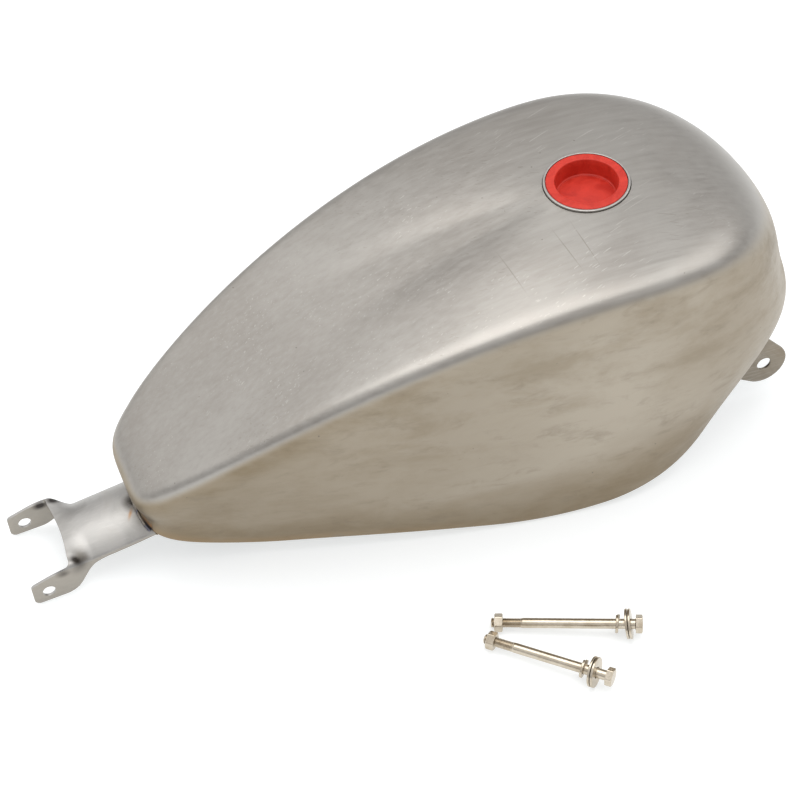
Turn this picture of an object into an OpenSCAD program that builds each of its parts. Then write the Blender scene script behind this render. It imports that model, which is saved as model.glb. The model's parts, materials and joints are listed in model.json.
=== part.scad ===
// Motorcycle fuel tank of welded sheet steel: two skin halves, a frame tunnel, two floor pans,
// mounting brackets, a filler neck with its shipping plug, and the two bolt sets that fasten it.
// Origin at the centre of the rear mounting holes. +X to the nose, +Y to the left, +Z up.
// Stations below are measured from the tail tip, heights from about the belly's lowest point.

/* [Skin] */
// Length of the shoulder line, tail to nose
tank_len = 550; // [540:1:560]
// Half width of the shoulder line at its widest
half_width = 123; // [121:0.1:125]
// Station of the widest place of the shoulder line
widest_x = 399; // [390:1:408]
// Share of the width that the shoulder keeps at the tail
tail_share = 0.485; // [0.475:0.005:0.5]
// Height of the shoulder at the tail
tail_z = 111.6; // [110:0.1:114]
// Height of the shoulder at the nose
nose_z = 222.7; // [220:0.1:226]
// Height of the shoulder's bow over a straight line
shoulder_bow = 68.9; // [66:0.1:71]
// Height of the crowned top over the shoulder
crown = 6.5; // [5:0.5:9]
// Roundness of the shoulder along the sides
shoulder_r = 30; // [26:1:34]
// Roundness of the shoulder at the tail
tail_r = 36; // [32:0.5:40]
// Roundness of the shoulder at the nose
nose_r = 84; // [78:1:88]
// Depth of the hollow below the shoulder
side_hollow = 5; // [3:0.5:7]
// Forward bulge of the prow below the nose shoulder
prow = 49.5; // [44:0.5:53]
// Thickness of the steel sheet
sheet = 1.5; // [1.2:0.1:2]

/* [Lower edge] */
// Station of the lower edge at the tail
edge_tail_x = 7.6; // [6.8:0.1:8.4]
// Station of the lower edge at the nose
edge_nose_x = 526; // [522:1:530]
// Half width of the lower edge at its widest
edge_half_width = 109.5; // [107:0.5:112]
// Station of the widest place of the lower edge
edge_widest_x = 377; // [372:1:382]
// Height of the lower edge's line at the tail
edge_tail_z = 43; // [42:0.5:44]
// Lift of the lower edge at the tail, up to the saddle's sides
edge_lift = 23; // [22:0.5:24]
// Rise of the lower edge at the nose
edge_rise = 94; // [90:1:97]
// Width of the hem turned in along the lower edge
hem = 7; // [5:0.5:9]
// Width of the lip turned in around the tunnel's ends
lip = 20; // [16:1:24]

/* [Filler] */
// Station of the filler's axis
filler_x = 404.5; // [400:0.5:409]
// Outer radius of the filler neck
neck_r = 33.8; // [32:0.2:34]
// Radius of the neck's bore
neck_bore_r = 26; // [24:0.5:27]
// Depth of the neck below the skin
neck_depth = 24; // [20:1:28]
// Radius of the plug's flange
plug_flange_r = 31.6; // [30:0.2:31.8]
// Depth of the plug's cup
plug_depth = 15; // [12:1:18]
// Wall of the plug
plug_wall = 1.5; // [1.2:0.1:2]

/* [Brackets] */
// Clear width between the ears of each bracket
ear_gap = 72.8; // [72:0.1:74]
// Thickness of the bracket plates
ear_t = 2.3; // [2:0.1:2.6]
// Distance of the rear holes behind the tail tip
rear_hole_x = 77.5; // [74:0.5:80]
// Height of the rear holes
rear_hole_z = 47; // [45:0.5:49]
// Radius of the rear holes
rear_hole_r = 5.3; // [4.3:0.1:5.5]
// Station of the front holes
front_hole_x = 547; // [544:0.5:549]
// Height of the front holes
front_hole_z = 18.5; // [17:0.5:20]
// Radius of the front holes
front_hole_r = 6.4; // [4.3:0.1:7]
// Radius of the front ears' round ends
front_ear_r = 20.4; // [18:0.2:20.6]
// Half width of the saddle ahead of its ears
saddle_half = 31.3; // [31:0.1:31.6]
// Rise of the saddle's arch over its sides
arch_rise = 13; // [12.5:0.1:13.5]
// Forward slope of the saddle and the tunnel, in degrees
spine_pitch = 6.3; // [6:0.1:6.6]

/* [Fuel outlet] */
// Outer radius of the threaded spud
spud_r = 11; // [10:0.5:11]
// Length of the spud below the pan
spud_len = 10.5; // [10:0.5:11]

/* [Bolt sets] */
// Length of the front bolt under the head
front_bolt_len = 112; // [110:1:114]
// Length of the rear bolt under the head
rear_bolt_len = 100; // [98:1:102]
// Radius of the bolts' shank
bolt_r = 4; // [3.9:0.05:4]
// Width of the head and the nut across flats
across_flats = 13; // [12:0.5:13]
// Height of the bolt's head
head_h = 5.3; // [5:0.1:6]
// Height of the nut
nut_h = 6.6; // [6:0.1:6.8]
// Outer radius of the flat washers
washer_r = 12; // [10:0.5:12]
// Thickness of the flat washers
washer_t = 1.8; // [1.4:0.1:2]

/* [Hidden] */

spokes = 52;            // lines of the skin from the filler to the lower edge, per half
rows = 20;              // rows of the skin from the filler to the lower edge
upper_rows = 13;        // rows above the split, the same on every spoke
row_split = 0.62;       // place of the split along a spoke
seam_gap = 0.02;        // each skin half stays this far from the centre plane
gap = 0.2;              // play between plates that lie on each other
pass_gap = 1.2;         // the skin's edge stays this far from the saddle and the tunnel
hole_r = neck_r + 0.5;  // hole in the skin around the neck
nose_power = 2.3;       // squareness of the shoulder line ahead of its widest place
tail_power = 6.45;      // squareness of the shoulder line behind it
shoulder_tail_x = 1.1;  // station of the shoulder line at the tail
tail_span = 4;          // how close to the tail its roundness takes over
edge_nose_power = 2.2;  // the same for the lower edge
edge_tail_power = 2.8;
shoulder_taper = 1.57;  // how early the shoulder line narrows to the tail
edge_taper = 1.35;
edge_tail_share = 0.466; // share of the lower edge's width left at the tail
edge_flare = 0.443;       // share added back at the tail's corners
flare_power = 10.2;     // how close to the tail the corners flare
edge_line_x = 19;       // station where the lower edge's line begins
edge_lift_x = 114;      // station where the lift begins
edge_nose_share = 0.75; // and at the nose
fore_taper = 2.5;       // how late the lower edge narrows to the nose
edge_front_z = -54;     // height of the lower edge at the nose before its rise
edge_bow = 17;          // bow of the lower edge over a straight line
ear_in = ear_gap / 2;               // inner face of the ears
ear_out = ear_in + ear_t;           // outer face of the ears
arch_r = (pow(saddle_half, 2) + pow(arch_rise, 2)) / (2 * arch_rise);
arch_edge_z = 54.9;     // height of the saddle's side edge at its rear end
saddle_rear_x = -55;
saddle_front_x = 34;
ear_reach = 13;         // reach of the rear ears behind their holes
ear_top = [-57, 67];    // corner where the ears' top edge meets the saddle's rim
ear_tip_z = 57;         // height of that edge at the ears' tips
ear_low_z = 36.5;
flare_rear_x = -50;     // the ears' plates lead in to the saddle's sides between
flare_front_x = -32;    // these stations
saddle_low_z = 53.8;    // lower edge of the saddle's sides where the ears' plates meet them
front_ear_arc = [236, 399];         // the round end of the front ears, in degrees
front_ear_top = [516, 90];          // and where their straight edges end, on the tunnel
front_ear_low = [467, 50];
rest_pitch = 4.52;      // the tank lies on the saddle's ears and its belly, nose up
floor_z = -11.6;        // level of the floor under the rear holes
tunnel_wall = 1.6;
tunnel_out = saddle_half - ear_t - gap; // outer face of the tunnel's sides
tunnel_rear_x = 12;
flange_out = 46;        // outer edge of the flange under the pans
flange_rear_x = 94;     // the flange starts where the floor is wide enough
flange_front_x = 458;   // and ends behind the front ears
pan_in = ear_out + 0.5; // inner edge of the pans
pan_inset = 4.2;        // the pans' outer edge stays this far inside the skin's lower edge
pan_lift = sheet + 2 * gap;         // the pans lie on the hem and the flange
pan_clearance = 0.12;   // room for the hem's facets under the pans
pan_t = 1.5;
pan_rear_x = 66;
pan_front_x = 507;
spud_x = 175;
spud_y = 54.9;
collar_r = spud_r + 0.6; // plain collar of the spud, in the pan's hole
collar_h = 3.4;         // reach of the collar below the pan
spud_flange_r = spud_r + 3.5;
spud_weld_z = -1.75;    // centre of the weld ring below the pan
weld_r = 1.5;
nut_tip = 2.6;          // length of thread that stands out of the nut
washer_bore_r = 4.6;
lock_r = 7.4;
lock_t = 2;
loose = 0.05;           // radial play of the threads

function clamp01(t) = max(0, min(1, t));
function mix(a, b, t) = a + (b - a) * t;

// Heights of the shoulder line and of the lower edge at a station
function shoulder_z(x) = let (u = x / tank_len)
    mix(tail_z, nose_z, u) + 4 * shoulder_bow * u * (1 - u);
function edge_z(x) = let (
    u = (x - edge_line_x) / (edge_nose_x - edge_line_x),
    aft = clamp01((edge_lift_x - x) / (edge_lift_x - edge_tail_x)))
    mix(edge_tail_z, edge_front_z, u) + 4 * edge_bow * u * (1 - u)
        + edge_rise * pow(clamp01(2 * u - 1), 2) + edge_lift * aft * aft;

// Plan view of the shoulder line and the lower edge: rounded teardrops, phi 0 at the nose
function teardrop(phi, x0, x1, xw, w, np, tp, tail, taper, nose, flare) = let (
    c = cos(phi),
    power = 2 / (c >= 0 ? np : tp),
    x = xw + (c >= 0 ? x1 - xw : x0 - xw) * pow(abs(c), power),
    aft = clamp01((xw - x) / (xw - x0)),
    fore = clamp01((x - xw) / (x1 - xw)))
    [x, w * pow(abs(sin(phi)), power)
        * (1 - (1 - tail) * pow(aft, taper) + flare * pow(aft, flare_power))
        * (1 - (1 - nose) * pow(fore, fore_taper))];
function shoulder_plan(phi) = teardrop(phi, shoulder_tail_x, tank_len, widest_x, half_width,
    nose_power, tail_power, tail_share, shoulder_taper, 1, 0);
function edge_plan(phi) = teardrop(phi, edge_tail_x, edge_nose_x, edge_widest_x, edge_half_width,
    edge_nose_power, edge_tail_power, edge_tail_share, edge_taper, edge_nose_share, edge_flare);

// Crowned top at a distance from the filler's axis; d is the distance to the shoulder
function top_at(e, d, r) = let (x = filler_x + e.x * r)
    [x, e.y * r, shoulder_z(x) + crown * (1 - pow(r / d, 2))];

// Control points of one spoke, from the filler's hole to the lower edge
function spoke(phi) = let (
    p2 = shoulder_plan(phi), q2 = edge_plan(phi),
    p = [p2.x, p2.y, shoulder_z(p2.x)], q = [q2.x, q2.y, edge_z(q2.x)],
    d = norm([p2.x - filler_x, p2.y]),
    e = [(p2.x - filler_x) / d, p2.y / d, 0],
    nose = pow(max(0, cos(phi)), 2),
    r = mix(mix(shoulder_r, nose_r, nose), tail_r, pow(max(0, -cos(phi)), tail_span)),
    flat = (d - r - hole_r) / 3,
    a = max(0.05, min(0.45, r / norm(q - p))))
    [top_at(e, d, hole_r), top_at(e, d, hole_r + flat), top_at(e, d, hole_r + 2 * flat),
        top_at(e, d, d - r), p,
        mix(p, q, a) + e * prow * nose * 0.4,
        mix(p, q, mix(a, 1, 0.4)) + e * (prow * nose - side_hollow),
        mix(p, q, mix(a, 1, 0.75)) + e * prow * nose * 0.65,
        q];

// Point of a clamped cubic spline over nine control points
knots = [0, 0, 0, 0, 1/6, 2/6, 3/6, 4/6, 5/6, 1, 1, 1, 1];
function blend(c, t, level, i) = level == 0 ? c[i] : let (
    w = (t - knots[i]) / (knots[i + 4 - level] - knots[i]))
    mix(blend(c, t, level - 1, i - 1), blend(c, t, level - 1, i), w);
function spline(c, t) = blend(c, t, 3, 3 + min(5, floor(6 * t)));

// Saddle and tunnel: height of the arch's side edge, and of its outer surface at y
function arch_side_z(x) = arch_edge_z + (x - saddle_rear_x) * tan(spine_pitch);
function arch_z(x, y) = arch_side_z(x) - (arch_r - arch_rise)
    + sqrt(max(0, pow(arch_r, 2) - y * y));

// The skin is cut away where the tunnel and the brackets pass through it
function pass_half(x) = pass_gap
    + (x < saddle_front_x + 4 ? saddle_half : x > flange_front_x - 2 ? ear_out : tunnel_out);
function in_passage(p) = abs(p.y) < pass_half(p.x) && p.z < arch_z(p.x, p.y) + pass_gap;
function last_t(c, low, high, n) = n == 0 ? low : let (m = (low + high) / 2)
    in_passage(spline(c, m)) ? last_t(c, low, m, n - 1) : last_t(c, m, high, n - 1);
function skin_end(c) = in_passage(spline(c, 1)) ? last_t(c, 0.5, 1, 12) : 1;

// Place of a row along a spoke that ends at the given place
function row_place(j, end) = j <= upper_rows ? row_split * j / upper_rows
    : mix(row_split, end, (j - upper_rows) / (rows - upper_rows));
// Angle that spaces the spokes evenly round the shoulder line; turn 0 is the nose, 180 the tail
function even_angle(turn) = let (power = (turn <= 90 ? nose_power : tail_power) / 2)
    atan2(pow(abs(sin(turn)), power), (turn <= 90 ? 1 : -1) * pow(abs(cos(turn)), power));
// Step of the hem, square to the lower edge in plan
function hem_step(turn) = let (
    t = edge_plan(even_angle(min(180, turn + 2))) - edge_plan(even_angle(max(0, turn - 2))))
    [-t.y, t.x] / norm(t) * hem;
// One spoke of the outer skin, with its turned-in hem or lip as the last point
function skin_line(turn) = let (
    phi = even_angle(turn),
    c = spoke(phi), end = skin_end(c), last = spline(c, end), side = -sign(cos(phi)),
    full = hem_step(turn),
    room = last.y - pass_half(last.x) - gap,
    step = full * (full.y < -room ? max(0.1, -room / full.y) : 1),
    inward = end < 1 ? [side * lip, 0, side * lip * tan(spine_pitch)]
        : [step.x, step.y, edge_z(last.x + step.x) - last.z])
    [for (j = [0:rows]) spline(c, row_place(j, end)), last + inward];

// Rounds the corners of a flat outline; each corner is [x, y, radius]
function corner_arc(a, b, c, r) = let (
    u = (a - b) / norm(a - b), v = (c - b) / norm(c - b),
    half = acos(max(-1, min(1, u * v))) / 2,
    mid = b + (u + v) / norm(u + v) * r / sin(half),
    s = b + u * r / tan(half), t = b + v * r / tan(half),
    a0 = atan2(s.y - mid.y, s.x - mid.x), a1 = atan2(t.y - mid.y, t.x - mid.x),
    turn = a1 - a0 > 180 ? a1 - a0 - 360 : a1 - a0 < -180 ? a1 - a0 + 360 : a1 - a0)
    [for (k = [0:6]) mid + r * [cos(a0 + turn * k / 6), sin(a0 + turn * k / 6)]];
function rounded(pts) = let (n = len(pts))
    [for (i = [0:n - 1]) let (
        a = pts[(i + n - 1) % n], b = pts[i], c = pts[(i + 1) % n])
        each b.z == 0 ? [[b.x, b.y]] : corner_arc([a.x, a.y], [b.x, b.y], [c.x, c.y], b.z)];

// Tank frame to the part's frame: the rear holes at the origin, and the tank as it lies
module in_place() rotate([0, -rest_pitch, 0]) translate([rear_hole_x, 0, -rear_hole_z]) children();
// Side outline drawn in x and z, given thickness from y0 to y1
module side_plate(y0, y1) translate([0, y1, 0]) rotate([90, 0, 0])
    linear_extrude(y1 - y0) children();
module both_sides() { children(); mirror([0, 1, 0]) children(); }

// Closed skin half: outer points, inner points one sheet deeper, and the rims
module skin_half() {
    outer = [for (i = [0:spokes]) skin_line(180 * i / spokes)];
    last = rows + 1;
    wide = last + 1;
    inner = [for (i = [0:spokes]) [for (j = [0:last]) let (
        along = i == 0 ? [0, 1, 0] : i == spokes ? [0, -1, 0] : outer[i + 1][j] - outer[i - 1][j],
        down = outer[i][min(last, j + 1)] - outer[i][max(0, j - 1)],
        n = cross(down, along))
        outer[i][j] - n / norm(n) * sheet]];
    count = (spokes + 1) * wide;
    points = [for (line = outer) each line, for (line = inner) each line];
    skin = [for (i = [0:spokes - 1]) for (j = [0:last - 1]) let (
        a = i * wide + j, b = a + wide, c = b + 1, d = a + 1) each [[a, d, c], [a, c, b]]];
    lining = [for (f = skin) [f[0] + count, f[2] + count, f[1] + count]];
    rims = [for (i = [0:spokes - 1]) for (j = [0, last]) let (
        a = i * wide + j, b = a + wide)
        each j == 0 ? [[a, b, b + count], [a, b + count, a + count]]
            : [[a, b + count, b], [a, a + count, b + count]]];
    seams = [for (j = [0:last - 1]) for (i = [0, spokes]) let (
        a = i * wide + j, b = a + 1)
        each i == 0 ? [[a, b + count, b], [a, a + count, b + count]]
            : [[a, b, b + count], [a, b + count, a + count]]];
    translate([0, seam_gap, 0]) polyhedron(points, concat(skin, lining, rims, seams));
}
module left_shell() color([0.66, 0.63, 0.59]) in_place() skin_half();
module right_shell() color([0.66, 0.63, 0.59]) in_place() mirror([0, 1, 0]) skin_half();

// Arched channel section drawn across x; r is the arch's radius, half its half width
module arch_outline(r, half, depth) {
    centre = arch_rise - arch_r;
    intersection() {
        translate([0, centre]) circle(r, $fn = 96);
        translate([-half, centre]) square([2 * half, 2 * r]);
    }
    translate([-half, -depth])
        square([2 * half, depth + centre + sqrt(r * r - half * half) - gap]);
}
module arch_section(r, half, t, depth) difference() {
    arch_outline(r, half, depth);
    arch_outline(r - t, half - t, 2 * depth);
}
// Sweeps a section along the sloping spine between two stations
module along_spine(x0, x1) translate([saddle_rear_x, 0, arch_edge_z])
    rotate([0, -spine_pitch, 0]) translate([x0 - saddle_rear_x, 0, 0])
    rotate([90, 0, 90]) linear_extrude((x1 - x0) / cos(spine_pitch)) children();

// Band along the lower edge, from low to high over it, between two stations
function edge_band(x0, x1, low, high) = let (n = 24) concat(
    [for (i = [0:n]) let (x = mix(x0, x1, i / n)) [x, edge_z(x) + low]],
    [for (i = [n:-1:0]) let (x = mix(x0, x1, i / n)) [x, edge_z(x) + high]]);

module tunnel() color([0.55, 0.53, 0.5]) in_place() {
    front_low = edge_nose_x - 6;
    front_high = edge_nose_x + 20;
    high = 160;
    side_rear_x = 32;
    side_top = arch_side_z(tunnel_rear_x);
    intersection() {
        along_spine(tunnel_rear_x, edge_nose_x + 30)
            arch_section(arch_r - ear_t - gap, tunnel_out, tunnel_wall, 140);
        side_plate(-ear_out, ear_out) polygon(concat(
            [for (i = [0:24]) let (x = mix(side_rear_x + 20, front_low, i / 24)) [x, edge_z(x)]],
            [[front_high, high], [tunnel_rear_x, high], [tunnel_rear_x, side_top],
                [side_rear_x, side_top]]));
    }
    difference() {
        both_sides() side_plate(tunnel_out - tunnel_wall / 2, flange_out)
            polygon(edge_band(flange_rear_x, flange_front_x, 0, tunnel_wall));
        at_outlet() cylinder(h = 30, r = collar_r + 2 * weld_r + 4 * gap, center = true, $fn = 64);
    }
}

// The fuel outlet stands square to the left pan's underside
module at_outlet() translate([spud_x, spud_y, edge_z(spud_x) + pan_lift])
    rotate([0, -atan(edge_z(spud_x + 0.5) - edge_z(spud_x - 0.5)), 0]) children();

// Half width of the lower edge at a station, less the wall's inset
function edge_half(x) = let (
    f = x > edge_widest_x ? (x - edge_widest_x) / (edge_nose_x - edge_widest_x)
        : (edge_widest_x - x) / (edge_widest_x - edge_tail_x),
    power = x > edge_widest_x ? edge_nose_power : edge_tail_power,
    w = edge_half_width * pow(max(0, 1 - pow(f, power)), 1 / power))
    (x > edge_widest_x ? w * (1 - (1 - edge_nose_share) * pow(f, fore_taper))
        : w * (1 - (1 - edge_tail_share) * pow(f, edge_taper) + edge_flare * pow(f, flare_power)))
        - pan_inset;
module pan() intersection() {
    side_plate(pan_in, edge_half_width)
        polygon(edge_band(pan_rear_x, pan_front_x, pan_lift + pan_clearance,
            pan_lift + pan_clearance + pan_t));
    linear_extrude(2 * rear_hole_z, center = true) polygon(concat(
        [[pan_front_x, pan_in], [pan_rear_x, pan_in]],
        [for (i = [0:30]) let (x = mix(pan_rear_x, pan_front_x, i / 30)) [x, edge_half(x)]]));
}
module left_pan() color([0.6, 0.57, 0.53]) in_place() difference() {
    pan();
    at_outlet() cylinder(h = 30, r = collar_r + gap, center = true, $fn = 64);
}
module right_pan() color([0.6, 0.57, 0.53]) in_place() mirror([0, 1, 0]) pan();

// Everything round in the filler stands on the skin's tilt at the filler
rim_z = 1.1;            // the neck's rim and the plug's flange over the skin
seat_z = -1.2;          // seat of the plug's flange in the neck
seat_r = plug_flange_r + 0.4;
module on_filler() {
    slope = (shoulder_z(filler_x + 1) - shoulder_z(filler_x - 1)) / 2;
    in_place() translate([filler_x, 0, shoulder_z(filler_x) + crown])
        rotate([0, -atan(slope), 0]) children();
}
module filler_neck() color([0.72, 0.7, 0.67]) on_filler() rotate_extrude($fn = 96) polygon(rounded([
    [neck_bore_r, -neck_depth, 0], [neck_r, -neck_depth, 0], [neck_r, rim_z, 0.6],
    [seat_r, rim_z, 0.4], [seat_r, seat_z, 0], [neck_bore_r, seat_z, 0.4]]));
module filler_neck_weld() color([0.5, 0.47, 0.44]) on_filler() translate([0, 0, -6])
    rotate_extrude($fn = 96) translate([neck_r + 2 + loose, 0]) circle(2, $fn = 24);
module filler_plug() color([0.83, 0.22, 0.17]) on_filler() {
    cup_r = neck_bore_r - 0.1;
    rotate_extrude($fn = 96) polygon(rounded([
        [0, -plug_depth, 0], [cup_r - 0.8, -plug_depth, 1], [cup_r - 0.3, -rim_z, 0],
        [plug_flange_r, -rim_z, 0], [plug_flange_r, rim_z, 1],
        [cup_r - plug_wall, rim_z, 0.5], [cup_r - plug_wall - 0.8, plug_wall - plug_depth, 0.8],
        [0, plug_wall - plug_depth, 0]]));
    for (z = [-4, -7]) translate([0, 0, z]) rotate_extrude($fn = 96)
        translate([cup_r - 0.7, 0]) square([0.7, 0.8]);
}

// The saddle: an arched channel, and two ears that stand wider than it, led in by sloping plates
module rear_saddle() color([0.7, 0.69, 0.67]) in_place() {
    tip_x = -rear_hole_x - ear_reach;
    intersection() {
        along_spine(saddle_rear_x - 5, saddle_front_x + 5)
            arch_section(arch_r, saddle_half, ear_t, 60);
        side_plate(-50, 50) polygon([
            [saddle_rear_x, 100], [saddle_rear_x, saddle_low_z - 2], [flare_front_x, saddle_low_z],
            [saddle_front_x, arch_side_z(saddle_front_x) - 2], [saddle_front_x, 100]]);
    }
    both_sides() {
        difference() {
            side_plate(ear_in, ear_out) polygon(rounded([
                [tip_x, ear_tip_z, 4], [tip_x, ear_low_z, 5], [ear_top.x, ear_low_z, 12],
                [flare_rear_x + 4, 46, 0], [flare_rear_x + 2, 60, 0], [ear_top.x, ear_top.y, 3]]));
            translate([-rear_hole_x, ear_out + 1, rear_hole_z]) rotate([90, 0, 0])
                cylinder(h = ear_t + 2, r = rear_hole_r, $fn = 48);
        }
        intersection() {
            linear_extrude(100) polygon([
                [flare_rear_x, ear_in], [flare_rear_x, ear_out],
                [flare_front_x, saddle_half], [flare_front_x, saddle_half - ear_t]]);
            side_plate(0, 50) polygon([
                [flare_rear_x, 62], [flare_rear_x, 42], [-40, 50],
                [flare_front_x, saddle_low_z], [flare_front_x, 58]]);
        }
        translate([saddle_rear_x, 0, 0]) rotate([90, 0, 90]) linear_extrude(ear_t) polygon([
            [0, 66], [0, 68], [ear_in, ear_top.y - 1], [ear_out, ear_top.y - 2],
            [ear_out, 56], [saddle_half - 1, 54], [26, 58]]);
    }
}

// Round bead along a line of points, as a closed tube
module bead(line, r) {
    n = 8;
    m = len(line);
    ring = [for (i = [0:m - 1]) let (
        d = line[min(m - 1, i + 1)] - line[max(0, i - 1)],
        t = d / norm(d), up = cross(t, [1, 0, 0]), u = up / norm(up), v = cross(t, u))
        each [for (k = [0:n - 1]) line[i] + r * (cos(k * 360 / n) * u + sin(k * 360 / n) * v)]];
    walls = [for (i = [0:m - 2]) for (k = [0:n - 1]) let (
        a = i * n + k, b = i * n + (k + 1) % n) each [[a, a + n, b], [b, a + n, b + n]]];
    ends = [[for (k = [0:n - 1]) k], [for (k = [n - 1:-1:0]) (m - 1) * n + k]];
    polyhedron(ring, concat(walls, ends));
}
// The bead lies in the corner between the saddle and the tail's skin
module rear_saddle_weld() color([0.45, 0.42, 0.4]) in_place() {
    n = 9;
    corner = [for (i = [0:n]) let (
        c = spoke(180 - 1.2 * i), p = spline(c, skin_end(c)))
        [p.x - weld_r - 1, p.y, arch_z(p.x, p.y) + weld_r * 1.5]];
    bead(concat([for (i = [n:-1:1]) [corner[i].x, -corner[i].y, corner[i].z]], corner), weld_r);
}

// Ear outline: a round end about the hole, and a straight edge with a foot turned in to the tunnel
function on_front_ear(a) = [front_hole_x, front_hole_z] + front_ear_r * [cos(a), sin(a)];
foot_along = (front_ear_top - front_ear_low) / norm(front_ear_top - front_ear_low);
foot_up = [-foot_along.y, foot_along.x];
module front_ear() difference() {
    union() {
        side_plate(ear_in, ear_out) {
            polygon([on_front_ear(front_ear_arc[1]), front_ear_top, front_ear_low,
                on_front_ear(front_ear_arc[0])]);
            translate([front_hole_x, front_hole_z]) circle(front_ear_r, $fn = 64);
        }
        side_plate(tunnel_out + gap, ear_out) polygon([front_ear_low, front_ear_top,
            front_ear_top - foot_up * ear_t, front_ear_low - foot_up * ear_t]);
    }
    translate([front_hole_x, ear_out + 1, front_hole_z]) rotate([90, 0, 0])
        cylinder(h = ear_t + 2, r = front_hole_r, $fn = 48);
}
module front_ear_left() color([0.62, 0.58, 0.52]) in_place() front_ear();
module front_ear_right() color([0.62, 0.58, 0.52]) in_place() mirror([0, 1, 0]) front_ear();
module front_ear_welds() color([0.45, 0.42, 0.4]) in_place() both_sides() {
    start = front_ear_low + foot_up * (weld_r + gap / 2);
    translate([start.x, tunnel_out + weld_r + gap, start.y])
        rotate([0, acos(foot_along.y), 0]) cylinder(h = 60, r = weld_r, $fn = 24);
}

module petcock_spud() color([0.74, 0.72, 0.68]) in_place() at_outlet() {
    bore_r = 6;
    flange_z = pan_t + gap;
    flange_t = 2.4;
    rotate_extrude($fn = 64) polygon([
        [bore_r, -spud_len], [spud_r - 1, -spud_len], [spud_r, 1 - spud_len], [spud_r, -collar_h],
        [collar_r, -collar_h], [collar_r, flange_z], [spud_flange_r, flange_z],
        [spud_flange_r, flange_z + flange_t], [bore_r, flange_z + flange_t]]);
}
module petcock_spud_weld() color([0.45, 0.42, 0.4]) in_place() at_outlet()
    translate([0, 0, spud_weld_z]) rotate_extrude($fn = 64)
    translate([collar_r + weld_r + loose, 0]) circle(weld_r, $fn = 24);

// Bolt set: the axis runs from the head's face along +X to the tip.
// The nut lies on a flat and the washers stand on their rims, so the axis dips to the tip.
axis_dip = 2.9;
module set_at(x, y, yaw) translate([x, y, floor_z + washer_r]) rotate([0, 0, yaw])
    rotate([0, axis_dip, 0]) children();
module front_set() set_at(413.5, -236.0, 155.7) children();
module rear_set() set_at(372.0, -273.0, 135.4) children();
module hexagon(h) rotate([0, 90, 0]) rotate([0, 0, 30])
    cylinder(h = h, r = across_flats / sqrt(3), $fn = 6);
module bolt(long) {
    translate([-head_h, 0, 0]) hexagon(head_h);
    rotate([0, 90, 0]) rotate_extrude($fn = 48) polygon([
        [0, -1], [bolt_r, -1], [bolt_r, long - 1], [bolt_r - 1, long], [0, long]]);
    rotate([0, -90, 0]) cylinder(h = head_h + 0.2, r = across_flats / 2 - 1, $fn = 48);
}
module nut(long) translate([long - nut_tip - nut_h, 0, 0]) difference() {
    hexagon(nut_h);
    translate([-1, 0, 0]) rotate([0, 90, 0]) cylinder(h = nut_h + 2, r = bolt_r + loose, $fn = 48);
}
// Flat washer that leans on the shank
module washer(x, lean) translate([x, 0, 0]) rotate([0, lean, 0]) rotate([0, 90, 0]) difference() {
    cylinder(h = washer_t, r = washer_r, center = true, $fn = 64);
    cylinder(h = 2 * washer_t, r = washer_bore_r, center = true, $fn = 48);
}
// Spring washer, cut through and sprung open
module lock_washer(x, lean) translate([x, 0, 0]) rotate([0, lean, 0]) rotate([0, 90, 0])
    rotate([0, 0, 20]) rotate_extrude(angle = 348, $fn = 64)
    translate([washer_bore_r - 0.3, -lock_t / 2]) square([lock_r - washer_bore_r + 0.3, lock_t]);
zinc = [0.75, 0.7, 0.62];
module front_bolt() color(zinc) front_set() bolt(front_bolt_len);
module front_nut() color(zinc) front_set() nut(front_bolt_len);
module front_washer_outer() color(zinc) front_set() washer(4.2, 9);
module front_washer_inner() color(zinc) front_set() washer(6.6, 9);
module front_lock_washer() color(zinc) front_set() lock_washer(14.4, -6);
module rear_bolt() color(zinc) rear_set() bolt(rear_bolt_len);
module rear_nut() color(zinc) rear_set() nut(rear_bolt_len);
module rear_washer_outer() color(zinc) rear_set() washer(9, 5);
module rear_washer_inner() color(zinc) rear_set() washer(11.4, 5);
module rear_lock_washer() color(zinc) rear_set() lock_washer(19, -5);

left_shell();
right_shell();
tunnel();
left_pan();
right_pan();
filler_neck();
filler_neck_weld();
filler_plug();
rear_saddle();
rear_saddle_weld();
front_ear_left();
front_ear_right();
front_ear_welds();
petcock_spud();
petcock_spud_weld();
front_bolt();
front_nut();
front_washer_outer();
front_washer_inner();
front_lock_washer();
rear_bolt();
rear_nut();
rear_washer_outer();
rear_washer_inner();
rear_lock_washer();
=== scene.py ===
"""Looks of a bare steel motorcycle fuel tank with its filler plug and two loose bolt sets.

Everything is in metres in the row frame: origin at the rear mounting holes, +X to the nose, +Z up.
The tank frame used by the skin starts at the tail tip (x) and at the belly's level (z).
"""
import json
import math

import bmesh
import bpy
import numpy as np
from mathutils import Matrix, Vector


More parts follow.
